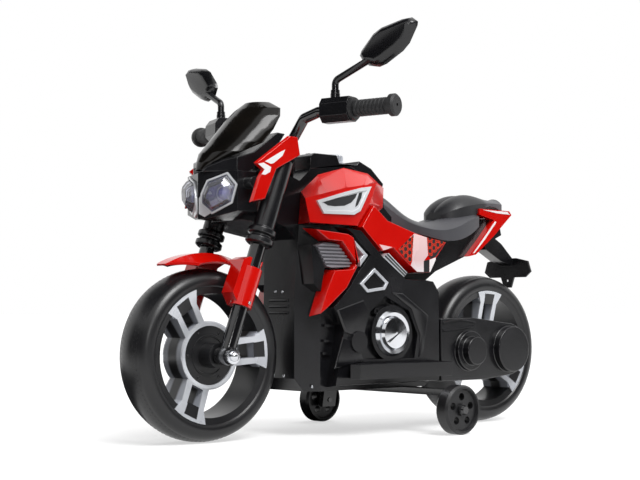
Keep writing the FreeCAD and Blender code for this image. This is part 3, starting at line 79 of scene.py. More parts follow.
Pair = tuple[float, float]
Triple = tuple[float, float, float]
Four = tuple[float, float, float, float]
Outline = tuple[Pair, ...]
Outlines = tuple[Outline, ...]
Shape = bmesh.types.BMesh
Material = bpy.types.Material
Tree = bpy.types.NodeTree
Node = bpy.types.Node
Socket = bpy.types.NodeSocket


# Node helpers

def to_linear(hex_colour: str) -> Four:
    """Turns an sRGB hex colour into linear light.

    Args:
        hex_colour: Six hex digits with a leading hash.

    Returns:
        Red, green, blue and an alpha of 1.
    """
    values = [int(hex_colour[i:i + 2], 16) / 255 for i in (1, 3, 5)]
    linear = [v / 12.92 if v <= 0.04045 else ((v + 0.055) / 1.055) ** 2.4 for v in values]
    return (*linear, 1.0)


def add_node(tree: Tree, kind: str, inputs: dict | None = None, **settings: object) -> Node:
    """Adds a node, sets it up and links it.

    Args:
        tree: Tree that takes the node.
        kind: Blender's name for the kind of node, without the leading ShaderNode.
        inputs: Socket name or number to a value, or to the output that feeds it.
        settings: Properties of the node itself.

    Returns:
        The new node.
    """
    node = tree.nodes.new(f"ShaderNode{kind}")
    for key, value in settings.items():
        setattr(node, key, value)
    for key, value in (inputs or {}).items():
        if isinstance(value, Socket):
            tree.links.new(value, node.inputs[key])
        else:
            node.inputs[key].default_value = value
    return node


def new_tree(name: str) -> tuple[Material, Tree, Socket]:
    """Starts an empty node material.

    Args:
        name: Name of the material.

    Returns:
        The material, its tree and its Object coordinates.
    """
    material = bpy.data.materials.new(name)
    material.use_nodes = True
    material.node_tree.nodes.clear()
    place = add_node(material.node_tree, "TexCoord").outputs["Object"]
    return material, material.node_tree, place


def noise_of(tree: Tree, place: Socket, size: float, detail: float = 2.0) -> Socket:
    """Gives noise whose clouds have about a size in millimetres."""
    return add_node(tree, "TexNoise",
                    {"Vector": place, "Scale": 1 / (size * MM), "Detail": detail}).outputs["Fac"]


def bump_of(tree: Tree, height: Socket, strength: float) -> Socket:
    """Gives the normal over a fine relief."""
    return add_node(tree, "Bump",
                    {"Height": height, "Strength": strength, "Distance": GRAIN_DEPTH * MM}).outputs["Normal"]


def mix_of(tree: Tree, share: Socket | float, first: Node, second: Node) -> Node:
    """Mixes two shaders, with a share of the second."""
    return add_node(tree, "MixShader", {0: share, 1: first.outputs[0], 2: second.outputs[0]})


def vector_of(tree: Tree, operation: str, *values: Socket | Triple | Vector) -> Socket:
    """Adds an operation on vectors and gives its result."""
    node = add_node(tree, "VectorMath", dict(enumerate(values)), operation=operation)
    return node.outputs["Value" if operation in ("LENGTH", "DOT_PRODUCT") else "Vector"]


def math_of(tree: Tree, operation: str, *values: Socket) -> Socket:
    """Adds an operation on numbers and gives its result."""
    return add_node(tree, "Math", dict(enumerate(values)), operation=operation).outputs["Value"]


def range_of(tree: Tree, value: Socket, span: Sequence[float], to: Pair = (0.0, 1.0),
             **settings: object) -> Socket:
    """Takes a value from one span to another, and stops at its ends."""
    inputs = {"Value": value, "From Min": span[0], "From Max": span[1], "To Min": to[0], "To Max": to[1]}
    return add_node(tree, "MapRange", inputs, **settings).outputs["Result"]


def ramp_of(tree: Tree, source: Socket, stops: Sequence[tuple[float, str]]) -> Socket:
    """Turns a value into a colour.

    Args:
        tree: Tree that takes the ramp.
        source: Output that drives the ramp.
        stops: Position and hex colour of each stop, two at least.

    Returns:
        The ramp's colour output.
    """
    node = add_node(tree, "ValToRGB", {"Fac": source})
    for _ in stops[2:]:
        node.color_ramp.elements.new(0.5)
    for element, (position, colour) in zip(node.color_ramp.elements, stops):
        element.position = position
        element.color = to_linear(colour)
    return node.outputs["Color"]


# Finishes

class Slot(Enum):
    """The material slots of the record."""

    RED = "red_gloss"
    BLACK = "black_satin"
    WHEEL = "wheel_black"
    SEAT = "seat_grey"
    PAD = "pad_dark"
    SILVER = "silver_paint"
    GRILLE = "grille_grey"
    CHROME = "chrome_plate"
    LENS = "clear_lens"
    SCREEN = "screen_smoke"
    FORK = "fork_black"
    GRIP = "grip_black"
    MIRROR = "mirror_face"
    STEEL = "axle_steel"
    CELL = "cell_grey"
    BOARD = "board_green"
    BUSH = "bush_white"


@dataclass(frozen=True)
class Moulding:
    """A moulded or painted surface: slightly uneven colour and gloss over a fine grain."""

    name: str
    dark: str
    light: str
    roughness: float
    coat: float = 0.0
    metallic: float = 0.0
    ior: float = 1.5
    grain_mm: float = 3.0
    grain: float = 0.05
    cloud_mm: float = 70.0
    cloud_span: Pair = (0.3, 0.7)
    sheen_span: Pair = (0.85, 1.15)
    coat_roughness: float = 0.04

    def colour(self, tree: Tree, place: Socket, cloud: Socket) -> Socket:
        """Gives the colour: two close shades in soft clouds."""
        low, high = self.cloud_span
        return ramp_of(tree, cloud, [(low, self.dark), (high, self.light)])

    def material(self) -> Material:
        """Builds the node material.

        Returns:
            The new material.
        """
        material, tree, place = new_tree(self.name)
        cloud = noise_of(tree, place, self.cloud_mm, 3.0)
        low, high = self.sheen_span
        sheen = range_of(tree, cloud, self.cloud_span, (self.roughness * low, self.roughness * high))
        normal = bump_of(tree, noise_of(tree, place, self.grain_mm), self.grain)
        inputs = {"Base Color": self.colour(tree, place, cloud), "Roughness": sheen,
                  "Normal": normal, "Metallic": self.metallic,
                  "Coat Weight": self.coat, "Coat Roughness": self.coat_roughness}
        if self.metallic < 1:
            inputs["IOR"] = self.ior
        skin = add_node(tree, "BsdfPrincipled", inputs)
        add_node(tree, "OutputMaterial", {"Surface": skin.outputs["BSDF"]})
        return material


@dataclass(frozen=True)
class Graded(Moulding):
    """A surface whose colour runs along one direction, the same on both sides of the bike."""

    axis: Triple = (0.0, 0.0, 1.0)
    start: float = 0.0
    end: float = 100.0
    between: tuple[tuple[float, str], ...] = ()

    def colour(self, tree: Tree, place: Socket, cloud: Socket) -> Socket:
        """Gives the colour at a distance along the axis, in millimetres, on one folded side.

        Args:
            tree: Tree of the material.
            place: Object coordinates.
            cloud: Soft clouds, not used here.

        Returns:
            The colour.
        """
        folded = vector_of(tree, "ABSOLUTE", place)
        along = vector_of(tree, "DOT_PRODUCT", folded, Vector(self.axis).normalized())
        share = range_of(tree, along, (self.start * MM, self.end * MM))
        return ramp_of(tree, share, ((0.0, self.dark), *self.between, (1.0, self.light)))


@dataclass(frozen=True)
class SprayedWheel(Moulding):
    """A black wheel with silver sprayed over the outer part of its spokes."""

    x: float = AXLE_X
    hub: Pair = (49.0, 50.0)
    rim: Pair = (93.0, 93.8)
    depth: Pair = (9.0, 14.0)
    spray: str = "#9da0a8"

    def mask(self, tree: Tree, place: Socket) -> Socket:
        """Gives 1 on the sprayed part and 0 on the bare black.

        Args:
            tree: Tree of the material.
            place: Object coordinates.

        Returns:
            The mask.
        """
        centred = vector_of(tree, "SUBTRACT", place, Vector((self.x, 0.0, AXLE_Z)) * MM)
        flat = vector_of(tree, "MULTIPLY", centred, (1.0, 0.0, 1.0))
        radius = vector_of(tree, "LENGTH", flat)
        sides = vector_of(tree, "ABSOLUTE", place)
        across = vector_of(tree, "DOT_PRODUCT", sides, (0.0, 1.0, 0.0))
        inside = range_of(tree, radius, Vector(self.rim) * MM, (1.0, 0.0))
        outside = range_of(tree, radius, Vector(self.hub) * MM)
        outer = range_of(tree, across, Vector(self.depth) * MM)
        return math_of(tree, "MULTIPLY", math_of(tree, "MULTIPLY", inside, outside), outer)

    def colour(self, tree: Tree, place: Socket, cloud: Socket) -> Socket:
        """Gives black, and silver where it is sprayed."""
        inputs = {0: self.mask(tree, place), 6: super().colour(tree, place, cloud), 7: to_linear(self.spray)}
        return add_node(tree, "Mix", inputs, data_type="RGBA").outputs[2]


@dataclass(frozen=True)
class ClearCover:
    """Thin clear polycarbonate: looked through straight on, bright with reflections at a slant."""

    name: str
    tint: str
    ior: float = 1.58
    roughness: float = 0.07
    veil: float = 0.12
    haze_mm: float = 9.0
    haze: float = 0.01

    def material(self) -> Material:
        """Builds the node material.

        Returns:
            The new material.
        """
        material, tree, place = new_tree(self.name)
        normal = bump_of(tree, noise_of(tree, place, self.haze_mm), self.haze)
        edge = add_node(tree, "Fresnel", {"IOR": self.ior, "Normal": normal})
        through = add_node(tree, "BsdfTransparent", {"Color": to_linear(self.tint)})
        shine = add_node(tree, "BsdfGlossy", {"Roughness": self.roughness, "Normal": normal})
        milky = add_node(tree, "BsdfDiffuse", {"Color": to_linear(self.tint)})
        clear = mix_of(tree, self.veil, through, milky)
        both = mix_of(tree, edge.outputs["Fac"], clear, shine)
        add_node(tree, "OutputMaterial", {"Surface": both.outputs["Shader"]})
        return material


Finish = Moulding | ClearCover

FINISHES: dict[Slot, Finish] = {
    # Self-coloured red shells, polished in the mould: deep colour under a clear, wet-looking gloss
    Slot.RED: Moulding("red_polypropylene_polished_mould", "#c00903", "#cc0e05", 0.16, coat=0.35, grain=0.02),
    # Black shells from a lightly etched mould: soft grey highlights that spread over the edges
    Slot.BLACK: Moulding("black_polypropylene_etched_mould", "#0f0f11", "#151518", 0.24, grain=0.06),
    # Blow-moulded wheels: a duller black that hardly shines
    Slot.WHEEL: Moulding("black_polyethylene_blow_moulded", "#101012", "#161618", 0.34, grain=0.1),
    # Seat shell with a leather-like etch: a broad, soft sheen on dark grey
    Slot.SEAT: Moulding("grey_polypropylene_soft_etch", "#37373b", "#414146", 0.42, grain=0.12),
    # Pillion pad: charcoal, with a paler rear end that is a painted sheen, where it catches the sky
    Slot.PAD: Graded("charcoal_polypropylene_fine_etch_painted_sheen", "#1f1f22", "#4a4a4f", 0.42, grain=0.1,
                     axis=(1.0, 0.0, 0.0), start=280.0, end=300.0, between=((0.6, "#26262a"),)),
    # Silver paint with fine flake: bright where it faces the light, grey where it turns away
    Slot.SILVER: Moulding("silver_flake_paint_sprayed", "#c2c5cc", "#dadde2", 0.28, coat=0.4, metallic=0.4),
    # Grille in plain grey plastic: flat and soft beside the gloss
    Slot.GRILLE: Moulding("grey_polypropylene_moulded", "#77757b", "#88868c", 0.4),
    # Vacuum-plated plastic: nearly a mirror, slightly wavy
    Slot.CHROME: Moulding("chrome_vacuum_plated", "#c8cace", "#dcdee2", 0.16, metallic=1.0, grain=0.02),
    # Clear lens: its facets flash, and the bowl shows through
    Slot.LENS: ClearCover("polycarbonate_clear_polished", "#f2f3fb"),
    # Smoked screen: brown-black depth under a smooth, weak gloss, so that it stays dark
    Slot.SCREEN: Moulding("smoked_acrylic_polished", "#0a0908", "#13100d", 0.16, ior=1.36, grain=0.01),
    # Enamelled tube: one long sharp highlight down its length
    Slot.FORK: Moulding("black_enamel_steel_tube", "#0f0f11", "#151517", 0.12, coat=0.6, grain=0.02),
    # Soft rubber: dull, the ribs show as bands of shade
    Slot.GRIP: Moulding("black_rubber_soft_moulded", "#161617", "#1e1e20", 0.55, grain=0.12),
    # Mirror film: a clean reflection with a faint waviness
    Slot.MIRROR: Moulding("mirror_film_on_acrylic", "#d4d8dd", "#e2e5e9", 0.03, metallic=1.0, grain=0.01),
    # Zinc plate: pale grey metal with a brushed softness
    Slot.STEEL: Moulding("zinc_plated_steel_turned", "#a4a6aa", "#b9bbbe", 0.25, metallic=1.0, grain=0.04),
    # Battery case, board and bush inside the body: plain works plastics
    Slot.CELL: Moulding("grey_abs_battery_case", "#6b6e70", "#787b7d", 0.5),
    Slot.BOARD: Moulding("green_solder_mask_board", "#24593c", "#2d6b48", 0.35),
    Slot.BUSH: Moulding("natural_nylon_turned", "#d6d6d0", "#e2e2dc", 0.45),
}

# Printed foil: pale pink that fades to white towards its foot, under a thin gloss
PALE_FOIL = Graded("pale_foil_screen_printed", "#e4e2e4", "#eecccb", 0.3, coat=0.3, grain=0.01,
                   start=262.0, end=332.0, between=((0.35, "#dfbcbd"),))
# White foil: clean and bright beside the red. The same white also serves as the painted highlights on the
# wings and the tail.
WHITE_FOIL_AND_HIGHLIGHT = Moulding("white_foil_and_painted_highlight", "#e9e3e3", "#f2eeee", 0.3, coat=0.3, grain=0.01)
# Orange-red foil lines: warmer than the shell under them
ORANGE_FOIL = Moulding("orange_foil_screen_printed", "#d8311a", "#e43c22", 0.3, coat=0.3, grain=0.01)
# Dark foil: smoky grey ground of the print, also laid as painted shade beside the side panel's striped bar
DARK_FOIL_AND_SHADE = Moulding("dark_foil_and_painted_shade", "#1b1c1e", "#26282a", 0.34, grain=0.01)
# Bowl behind a lens: aluminised and violet in its depth, and painted near white towards its upper part as a
# reflection of the light
BOWL = Graded("aluminised_bowl_violet_film_painted_reflection", "#4a4690", "#f6f6fb", 0.24, metallic=0.3, grain=0.02,
              axis=(-0.5, 0.25, 0.85), start=165.0, end=215.0, between=((0.35, "#8582c4"), (0.65, "#d2d1e6")))
# White-silver paint: a bright line round lenses and badges
BRIGHT = Moulding("white_silver_paint_sprayed", "#d4d6da", "#e6e8eb", 0.25, coat=0.6, metallic=0.15,
                  grain=0.02)
# Projector glass: deep blue-violet that glows at its crown
VIOLET_GLASS = Moulding("violet_glass_pressed", "#3a34a0", "#6a63d0", 0.06, coat=1.0, ior=1.52, grain=0.01,
                        cloud_mm=9.0)


@cache
def material_of(finish: Slot | Finish) -> Material:
    """Builds the material of a slot, or of a finish of its own, once."""
    return (FINISHES[finish] if isinstance(finish, Slot) else finish).material()


# Shapes

def place_at(x: float, y: float) -> Matrix:
    """Gives the way from millimetres about a point at the height of the axles to metres in the part."""
    return Matrix.Scale(MM, 4) @ Matrix.Translation((x, y, AXLE_Z))


@dataclass(frozen=True)
class Face:
    """An upright face of the part: along it, up it from the axles, and out of it."""

    y: float
    x: float = AXLE_X
    turn: float = 0.0

    def spot(self, along: float = 0.0, up: float = 0.0, out: float = 0.0) -> Matrix:
        """Gives the way from millimetres about a point of the face to metres in the part."""
        turned = Matrix.Rotation(math.radians(self.turn), 4, "Z") @ STANDING
        return place_at(self.x, self.y) @ turned @ Matrix.Translation((along, up, out))


@dataclass(frozen=True)
class Relief:
    """How a plate stands out: its upright edge, then how far a sloping edge goes in and up."""

    thick: float = FOIL
    slope: float = 0.0
    rise: float = 0.0


def everything(shape: Shape) -> list:
    """Lists all that a shape holds."""
    return shape.verts[:] + shape.edges[:] + shape.faces[:]


def outwards(shape: Shape) -> None:
    """Turns all faces of a shape outwards."""
    bmesh.ops.recalc_face_normals(shape, faces=shape.faces)


def corners_of(geometry: Iterable) -> list[BMVert]:
    """Picks the corners out of some geometry."""
    return [item for item in geometry if isinstance(item, BMVert)]


def repeat(shape: Shape, spots: Iterable[Matrix]) -> None:
    """Copies a shape to each place, and drops the first one.

    Args:
        shape: Shape that is repeated.
        spots: Where the copies go.
    """
    first = everything(shape)
    for spot in spots:
        copy = bmesh.ops.duplicate(shape, geom=first)["geom"]
        bmesh.ops.transform(shape, matrix=spot, verts=corners_of(copy))
    bmesh.ops.delete(shape, geom=corners_of(first), context="VERTS")


def thicken(shape: Shape, faces: Sequence[BMFace], thick: float) -> list:
    """Makes flat faces into a solid.

    Args:
        shape: Shape that holds the faces.
        faces: Faces that are raised.
        thick: How far they are raised.

    Returns:
        What was raised.
    """
    raised = bmesh.ops.extrude_face_region(shape, geom=faces)["geom"]
    bmesh.ops.translate(shape, vec=(0.0, 0.0, thick), verts=corners_of(raised))
    return raised


def flat_face(shape: Shape, outline: Outline) -> BMFace:
    """Adds a flat face with an outline."""
    return shape.faces.new([shape.verts.new((along, up, 0.0)) for along, up in outline])


def plate(shape: Shape, outline: Outline, relief: Relief = Relief()) -> BMFace:
    """Adds a plate, from the face up.

    Args:
        shape: Shape that takes it.
        outline: Outline of its foot.
        relief: How it stands out.

    Returns:
        Its top.
    """
    raised = thicken(shape, [flat_face(shape, outline)], relief.thick)
    outwards(shape)
    top = next(item for item in raised if isinstance(item, BMFace))
    if relief.slope:
        bmesh.ops.inset_region(shape, faces=[top], thickness=relief.slope, depth=relief.rise,
                               use_even_offset=True)
    return top


def lathe(profile: Sequence[Pair], steps: int = 24) -> Shape:
    """Turns a profile of radius and height about the height, whole round.

    Args:
        profile: Points from the axis, or round a closed ring if the first and last are the same.
        steps: How many flats the turned form has.

    Returns:
        The new shape, in millimetres.
    """
    shape = bmesh.new()
    verts = [shape.verts.new((radius, 0.0, height)) for radius, height in profile]
    edges = [shape.edges.new(pair) for pair in zip(verts, verts[1:])]
    bmesh.ops.spin(shape, geom=verts + edges, cent=(0, 0, 0), axis=(0, 0, 1), angle=2 * math.pi, steps=steps,
                   use_merge=True)
    bmesh.ops.remove_doubles(shape, verts=shape.verts, dist=SEAM)
    outwards(shape)
    return shape


def ring_profile(radius: float, height: float, wide: float, high: float) -> list[Pair]:
    """Gives the closed profile of a low raised ring with sloping sides."""
    foot, top = wide * 0.5, wide * 0.3
    return [(radius - foot, height), (radius + foot, height), (radius + top, height + high),
            (radius - top, height + high), (radius - foot, height)]


# Making pieces

def body_of(node: str) -> str:
    """Gives the body that carries a node."""
    bodies = frame["record"]["behaviour"]["bodies"]
    return next(name for name, nodes in bodies.items() if node in nodes)


def dress(slot: Slot, *nodes: str, finish: Finish | None = None) -> None:
    """Gives nodes of the frame the finish of a slot, or one of their own.

    Args:
        slot: Slot of the record that they belong to.
        nodes: Nodes of the frame.
        finish: A finish of their own, where it isn't the slot's.
    """
    for node in nodes:
        mesh = frame["nodes"][node].data
        mesh.materials.clear()
        mesh.materials.append(material_of(finish or slot))
        LOG.info("dressed %s as %s", node, slot.value)


def to_object(name: str, shape: Shape, material: Material) -> bpy.types.Object:
    """Turns a shape into an object of one material, and frees the shape.

    Args:
        name: Name of the object.
        shape: Its mesh, in metres.
        material: Its material.

    Returns:
        The new object.
    """
    mesh = bpy.data.meshes.new(name)
    shape.to_mesh(mesh)
    shape.free()
    mesh.materials.append(material)
    made = bpy.data.objects.new(name, mesh)
    bpy.context.scene.collection.objects.link(made)
    return made


def piece(name: str, shape: Shape, slot: Slot, body: str, finish: Finish | None = None) -> bpy.types.Object:
    """Turns a shape into a finished piece that rides on a body.

    Args:
        name: Name of the piece.
        shape: Its mesh, in the part's place, in metres.
        slot: Slot of the record that it belongs to.
        body: Body that it rides on.
        finish: A finish of its own, where it isn't the slot's.

    Returns:
        The new object.
    """
    for face in shape.faces:
        face.smooth = True
    for edge in shape.edges:
        edge.smooth = edge.calc_face_angle(0.0) < CREASE
    made = to_object(name, shape, material_of(finish or slot))
    even = made.modifiers.new("even_normals", "WEIGHTED_NORMAL")
    even.keep_sharp = True
    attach(made, body)
    LOG.info("made %s with %d faces", name, len(made.data.polygons))
    return made


def soften(slot: Slot, edge: float, *nodes: str, least: float = SHARP, span: float = 0.0,
           sliver: float = 0.0) -> None:
    """Makes a copy of each node with rounded edges, which stands for the node.

    Args:
        slot: Slot of the record that they belong to.
        edge: Width of the rounding in millimetres.
        nodes: Nodes of the frame.
        least: Angle in degrees from which an edge counts as sharp.
        span: Length in millimetres from which an edge is rounded.
        sliver: Width in millimetres up to which slivers of the drawn mesh are closed first.
    """
    for node in nodes:
        shape = bmesh.new()
        shape.from_mesh(frame["nodes"][node].data)
        bmesh.ops.remove_doubles(shape, verts=shape.verts, dist=max(MERGE, sliver) * MM)
        if sliver:
            bmesh.ops.dissolve_degenerate(shape, dist=sliver * MM, edges=shape.edges)
        bmesh.ops.dissolve_limit(shape, angle_limit=FLAT, verts=shape.verts, edges=shape.edges)
        sharp = [e for e in shape.edges if e.is_manifold and e.calc_face_angle(0.0) > math.radians(least)
                 and e.calc_length() > span * MM]
        bmesh.ops.bevel(shape, geom=sharp, offset=edge * MM, offset_type="OFFSET", affect="EDGES", segments=2,
                        profile=0.5, material=-1, clamp_overlap=True)
        bmesh.ops.dissolve_degenerate(shape, dist=SPECK * MM, edges=shape.edges)
        outwards(shape)
        made = piece(f"{node}_soft", shape, slot, body_of(node))
        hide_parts(node)


def twins(name: str, shape: Shape, spots: Iterable[Matrix], slot: Slot, body: str,
          finish: Finish | None = None) -> bpy.types.Object:
    """Sets a shape at places on the left and their twins on the right, as one piece.

    Args:
        name: Name of the piece.
        shape: The shape, in millimetres about its own place.
        spots: Where it goes on the left.
        slot: Slot of the record.
        body: Body that it rides on.
        finish: A finish of its own, where it isn't the slot's.

    Returns:
        The new object.
    """
    repeat(shape, spots)
    bmesh.ops.mirror(shape, geom=everything(shape), matrix=Matrix.Identity(4), merge_dist=-1, axis="Y")
    outwards(shape)
    return piece(name, shape, slot, body, finish)


def plates(name: str, spot: Matrix, outlines: Iterable[Outline], slot: Slot, body: str,
           finish: Finish | None = None, relief: Relief = Relief()) -> None:
    """Lays plates or foils on a face of each side, as one piece.

    Args:
        name: Name of the piece.
        spot: Place of the face on the left.
        outlines: Outline of each plate on the face.
        slot: Slot of the record.
        body: Body that they ride on.
        finish: A finish of their own, where it isn't the slot's.
        relief: How they stand out.
    """
    shape = bmesh.new()
    for outline in outlines:
        plate(shape, outline, relief)
    twins(name, shape, [spot], slot, body, finish)


def screws(name: str, slot: Slot, body: str, spots: Iterable[Matrix], radius: float) -> None:
    """Sets pan-head screws of a radius at places on the left and their twins on the right."""
    head = [(across * radius, up * radius) for across, up in PAN_HEAD]
    twins(name, lathe(head + [(radius, -SUNK), (0.0, -SUNK)], steps=14), spots, slot, body)


# Sub-assemblies

@dataclass
class Wheel:
    """A one-piece wheel with silver spokes, a fine tread and raised rings."""

    node: str
    trim: str
    x: float
    turn: float
    blocks: int = 104
    block: Triple = (3.4, 5.4, 1.3)
    block_top: Triple = (0.7, 0.85, 1.0)
    block_slant: float = 18.0
    rows: tuple[Triple, ...] = ((130.6, 10.6, 9), (129.2, 17.6, 13))
    rings: tuple[Four, ...] = ((110.5, 34.4, 1.6, 1.0), (117.5, 33.7, 1.2, 1.0))
    hub_ring: Four = (30.0, 21.8, 4.0, 1.6)
    hub_screws: int = 6
    hub_screw: Triple = (38.0, 0.0, 22.0)
    hub_head: float = 2.4
    pairs: int = 3
    slot_rows: tuple[Triple, ...] = ((80, 11, 30.5), (94, 12, 33.2), (98.4, 12.4, 33.75))

    def build(self) -> None:
        """Dresses the wheel and lays its tread and rings."""
        skin = SprayedWheel("black_polyethylene_silver_sprayed", "#101012", "#161618", 0.34, grain=0.1,
                            x=self.x)
        dress(Slot.WHEEL, self.node, finish=skin)
        dress(Slot.SILVER, self.trim)
        self.tread()
        for number, ring in enumerate(self.rings):
            self.add(f"side_ring_{number}", lathe(ring_profile(*ring), steps=120), [self.side()])
        self.hub()
        self.slot_ends()

    def spot(self, angle: float = 0.0) -> Matrix:
        """Gives the way from the wheel's own millimetres, turned about the axle, to the part."""
        return place_at(self.x, 0.0) @ Matrix.Rotation(angle, 4, "Y")

    def side(self, angle: float = 0.0) -> Matrix:
        """Gives the same way for what is drawn flat and stands on the wheel's left side."""
        return self.spot(angle) @ UPRIGHT

    def add(self, name: str, shape: Shape, spots: Iterable[Matrix]) -> None:
        """Adds a black shape to both sides of the wheel."""
        twins(f"{self.node}_{name}", shape, spots, Slot.WHEEL, body_of(self.node))

    def tread(self) -> None:
        """Sets two rows of small slanting blocks on each shoulder, one between the other."""
        shape = bmesh.new()
        bmesh.ops.create_cube(shape, size=1.0, matrix=Matrix.Diagonal((*self.block, 1.0)))
        top = next(face for face in shape.faces if face.normal.z > 0.9)
        bmesh.ops.scale(shape, vec=self.block_top, verts=top.verts)
        slant = Matrix.Rotation(math.radians(self.block_slant), 3, "Z")
        bmesh.ops.rotate(shape, matrix=slant, verts=shape.verts)
        spots = []
        for row, (radius, across, lean) in enumerate(self.rows):
            on_tyre = Matrix.Translation((0.0, across, radius)) @ Matrix.Rotation(math.radians(-lean), 4, "X")
            turns = [2 * math.pi * (i + row / 2) / self.blocks for i in range(self.blocks)]
            spots += [self.spot(turn) @ on_tyre for turn in turns]
        self.add("tread", shape, spots)

    def hub(self) -> None:
        """Sets a raised ring and screw heads on the hub disc."""
        self.add("hub_ring", lathe(ring_profile(*self.hub_ring), steps=64), [self.side()])
        turns = [Matrix.Rotation(2 * math.pi * i / self.hub_screws, 4, "Z") for i in range(self.hub_screws)]
        spots = [self.side() @ turn @ Matrix.Translation(self.hub_screw) for turn in turns]
        screws(f"{self.node}_hub_screws", Slot.WHEEL, body_of(self.node), spots, self.hub_head)

    def slot_ends(self) -> None:
        """Paints the foot of each pair of spokes black, out to a thin silver arc at the rim."""
        shape = bmesh.new()
        bmesh.ops.create_grid(shape, x_segments=2, y_segments=1, size=1.0)
        for vert in shape.verts:
            radius, half, height = self.slot_rows[round(vert.co.x) + 1]
            vert.co = (radius, half * vert.co.y, height)
        thicken(shape, shape.faces[:], PRINT)
        turns = [math.radians(self.turn + 360.0 / self.pairs * i) for i in range(self.pairs)]
        self.add("slot_ends", shape, [self.side(turn) for turn in turns])


@dataclass
class Fork:
    """Fork legs, sleeves, yokes, axle and the red fender."""

    sleeve_edge: float = 0.8
    yoke_edge: float = 1.0
    fender_edge: float = 1.6
    axle: Face = Face(84.0)
    nut: Outline = (
        (0, 9), (4.05, 8.2), (6.75, 6.2), (7.74, 3.4), (7.74, 1.6), (11.7, 1.4), (11.7, -0.6), (0, -0.6))
    guard: Face = Face(83.2)
    guard_screw: Pair = (-31.0, 79.2)
    guard_head: float = 2.6

    def build(self) -> None:
        """Dresses the fork and adds a dome nut and a guard screw for each side."""
        dress(Slot.FORK, "fork_legs")
        dress(Slot.STEEL, "front_axle")
        soften(Slot.BLACK, self.sleeve_edge, "fork_sleeves", least=STEEP)
        soften(Slot.BLACK, self.yoke_edge, "lower_yoke", "upper_yoke")
        soften(Slot.RED, self.fender_edge, "front_fender")
        twins("front_axle_nuts", lathe(self.nut, steps=32), [self.axle.spot()], Slot.STEEL, "steering",
              FINISHES[Slot.CHROME])
        screws("guard_screws", Slot.STEEL, "steering", [self.guard.spot(*self.guard_screw)], self.guard_head)


@dataclass
class Handlebar:
    """Bar, grips, pods and mirrors."""

    edge: float = 1.0
    mirror_span: float = 12.0
    mirror_sliver: float = 0.1

    def build(self) -> None:
        """Dresses the bar and what it carries."""
        dress(Slot.FORK, "handlebar")
        dress(Slot.GRIP, "grip_left", "grip_right")
        soften(Slot.BLACK, self.edge, "switch_pods")
        soften(Slot.BLACK, self.edge, "mirror_left", "mirror_right", least=STEEP, span=self.mirror_span,
               sliver=self.mirror_sliver)
        dress(Slot.MIRROR, "mirror_glass_left", "mirror_glass_right")
        dress(Slot.RED, "horn_button")


@dataclass
class Nose:
    """Headlight, screen, cowl and its red wings."""

    shell_edge: float = 3.0
    cowl_edge: float = 1.5
    thin_edge: float = 0.8
    lens: Face = Face(6.0, AXLE_X + 2.0, -66.8)
    lens_top: float = 0.5
    rim_outline: Outline = (
        (0.5, 246.5), (-10.5, 267.4), (-46.8, 278), (-63.8, 258.8), (-55.2, 230.2), (-19.6, 215),
        (0.5, 230.8))
    rim: float = 2.8
    rim_high: float = 4.0
    chin: Outline = ((4, 240), (0.6, 244), (0.6, 230.6), (-17, 216.6), (-6, 211), (4, 216))
    chin_relief: Relief = Relief(3.0)
    lamp: Triple = (-31.0, 247.0, -15.0)
    dome: Outline = ((0, 10), (5, 9.2), (9, 6.4), (11, 2.4), (11.2, 0), (0, 0))
    collar: Four = (12.2, 0.0, 2.2, 3.0)
    # Bright plates in each bowl are painted glints, where its facets reflect the light
    flashes: Outlines = (
        ((-46, 271), (-57, 257.5), (-48, 254), (-41, 262)),
        ((-15, 260), (-38, 267.5), (-34, 261)),
        ((-53, 237), (-50, 246), (-44, 241), (-46, 233)),
        ((-6, 246), (-10, 253), (-15, 246)))
    flash_relief: Relief = Relief(0.6, 1.2, 1.0)
    flash_depth: float = -5.0
    wing: Face = Face(90.0)
    # Two pale plates on each red wing are painted highlights, where the wing reflects the light
    wing_painted_highlights: Outlines = (
        ((-54, 294), (-66, 291), (-71, 292.6), (-88, 305), (-93.5, 315), (-83, 310)),
        ((-41, 289.3), (-53.5, 281.8), (-47.5, 274), (-54.5, 273.5), (-64, 278.5), (-66, 286),
         (-51.5, 292)))

    def build(self) -> None:
        """Dresses the nose and adds rims, lamps and two pale painted highlights on each wing."""
        soften(Slot.BLACK, self.shell_edge, "headlight_shell")
        dress(Slot.CHROME, "headlight_reflectors", finish=BOWL)
        dress(Slot.LENS, "headlight_lenses")
        soften(Slot.SCREEN, self.thin_edge, "windscreen")
        soften(Slot.BLACK, self.cowl_edge, "front_cowl")
        soften(Slot.RED, self.thin_edge, "cowl_wings")
        self.rims()
        self.projectors()
        plates("wing_painted_highlights", self.wing.spot(), self.wing_painted_highlights, Slot.SILVER, "steering", WHITE_FOIL_AND_HIGHLIGHT)

    def rims(self) -> None:
        """Runs a bright rim round each lens, with a chin below it."""
        shape = bmesh.new()
        inner = flat_face(shape, self.rim_outline)
        bmesh.ops.recalc_face_normals(shape, faces=[inner])
        bmesh.ops.inset_region(shape, faces=[inner], thickness=self.rim, use_boundary=True,
                               use_even_offset=True)
        bmesh.ops.delete(shape, geom=[inner], context="FACES_ONLY")
        thicken(shape, shape.faces[:], self.rim_high)
        spot = self.lens.spot(out=self.lens_top)
        twins("headlight_rims", shape, [spot], Slot.CHROME, "steering", BRIGHT)
        plates("headlight_chins", spot, (self.chin,), Slot.CHROME, "steering", BRIGHT, self.chin_relief)

    def projectors(self) -> None:
        """Turns a violet glass dome in a bright ring for each bowl, and lays bright plates before it as
        painted glints.
        """
        spots = [self.lens.spot(*self.lamp)]
        dome = lathe(self.dome, steps=32)
        twins("headlight_projectors", dome, spots, Slot.LENS, "steering", VIOLET_GLASS)
        collar = lathe(ring_profile(*self.collar), steps=32)
        twins("headlight_collars", collar, spots, Slot.CHROME, "steering", BRIGHT)
        plates("headlight_painted_glints", self.lens.spot(out=self.flash_depth), self.flashes, Slot.CHROME,
               "steering", BRIGHT, self.flash_relief)


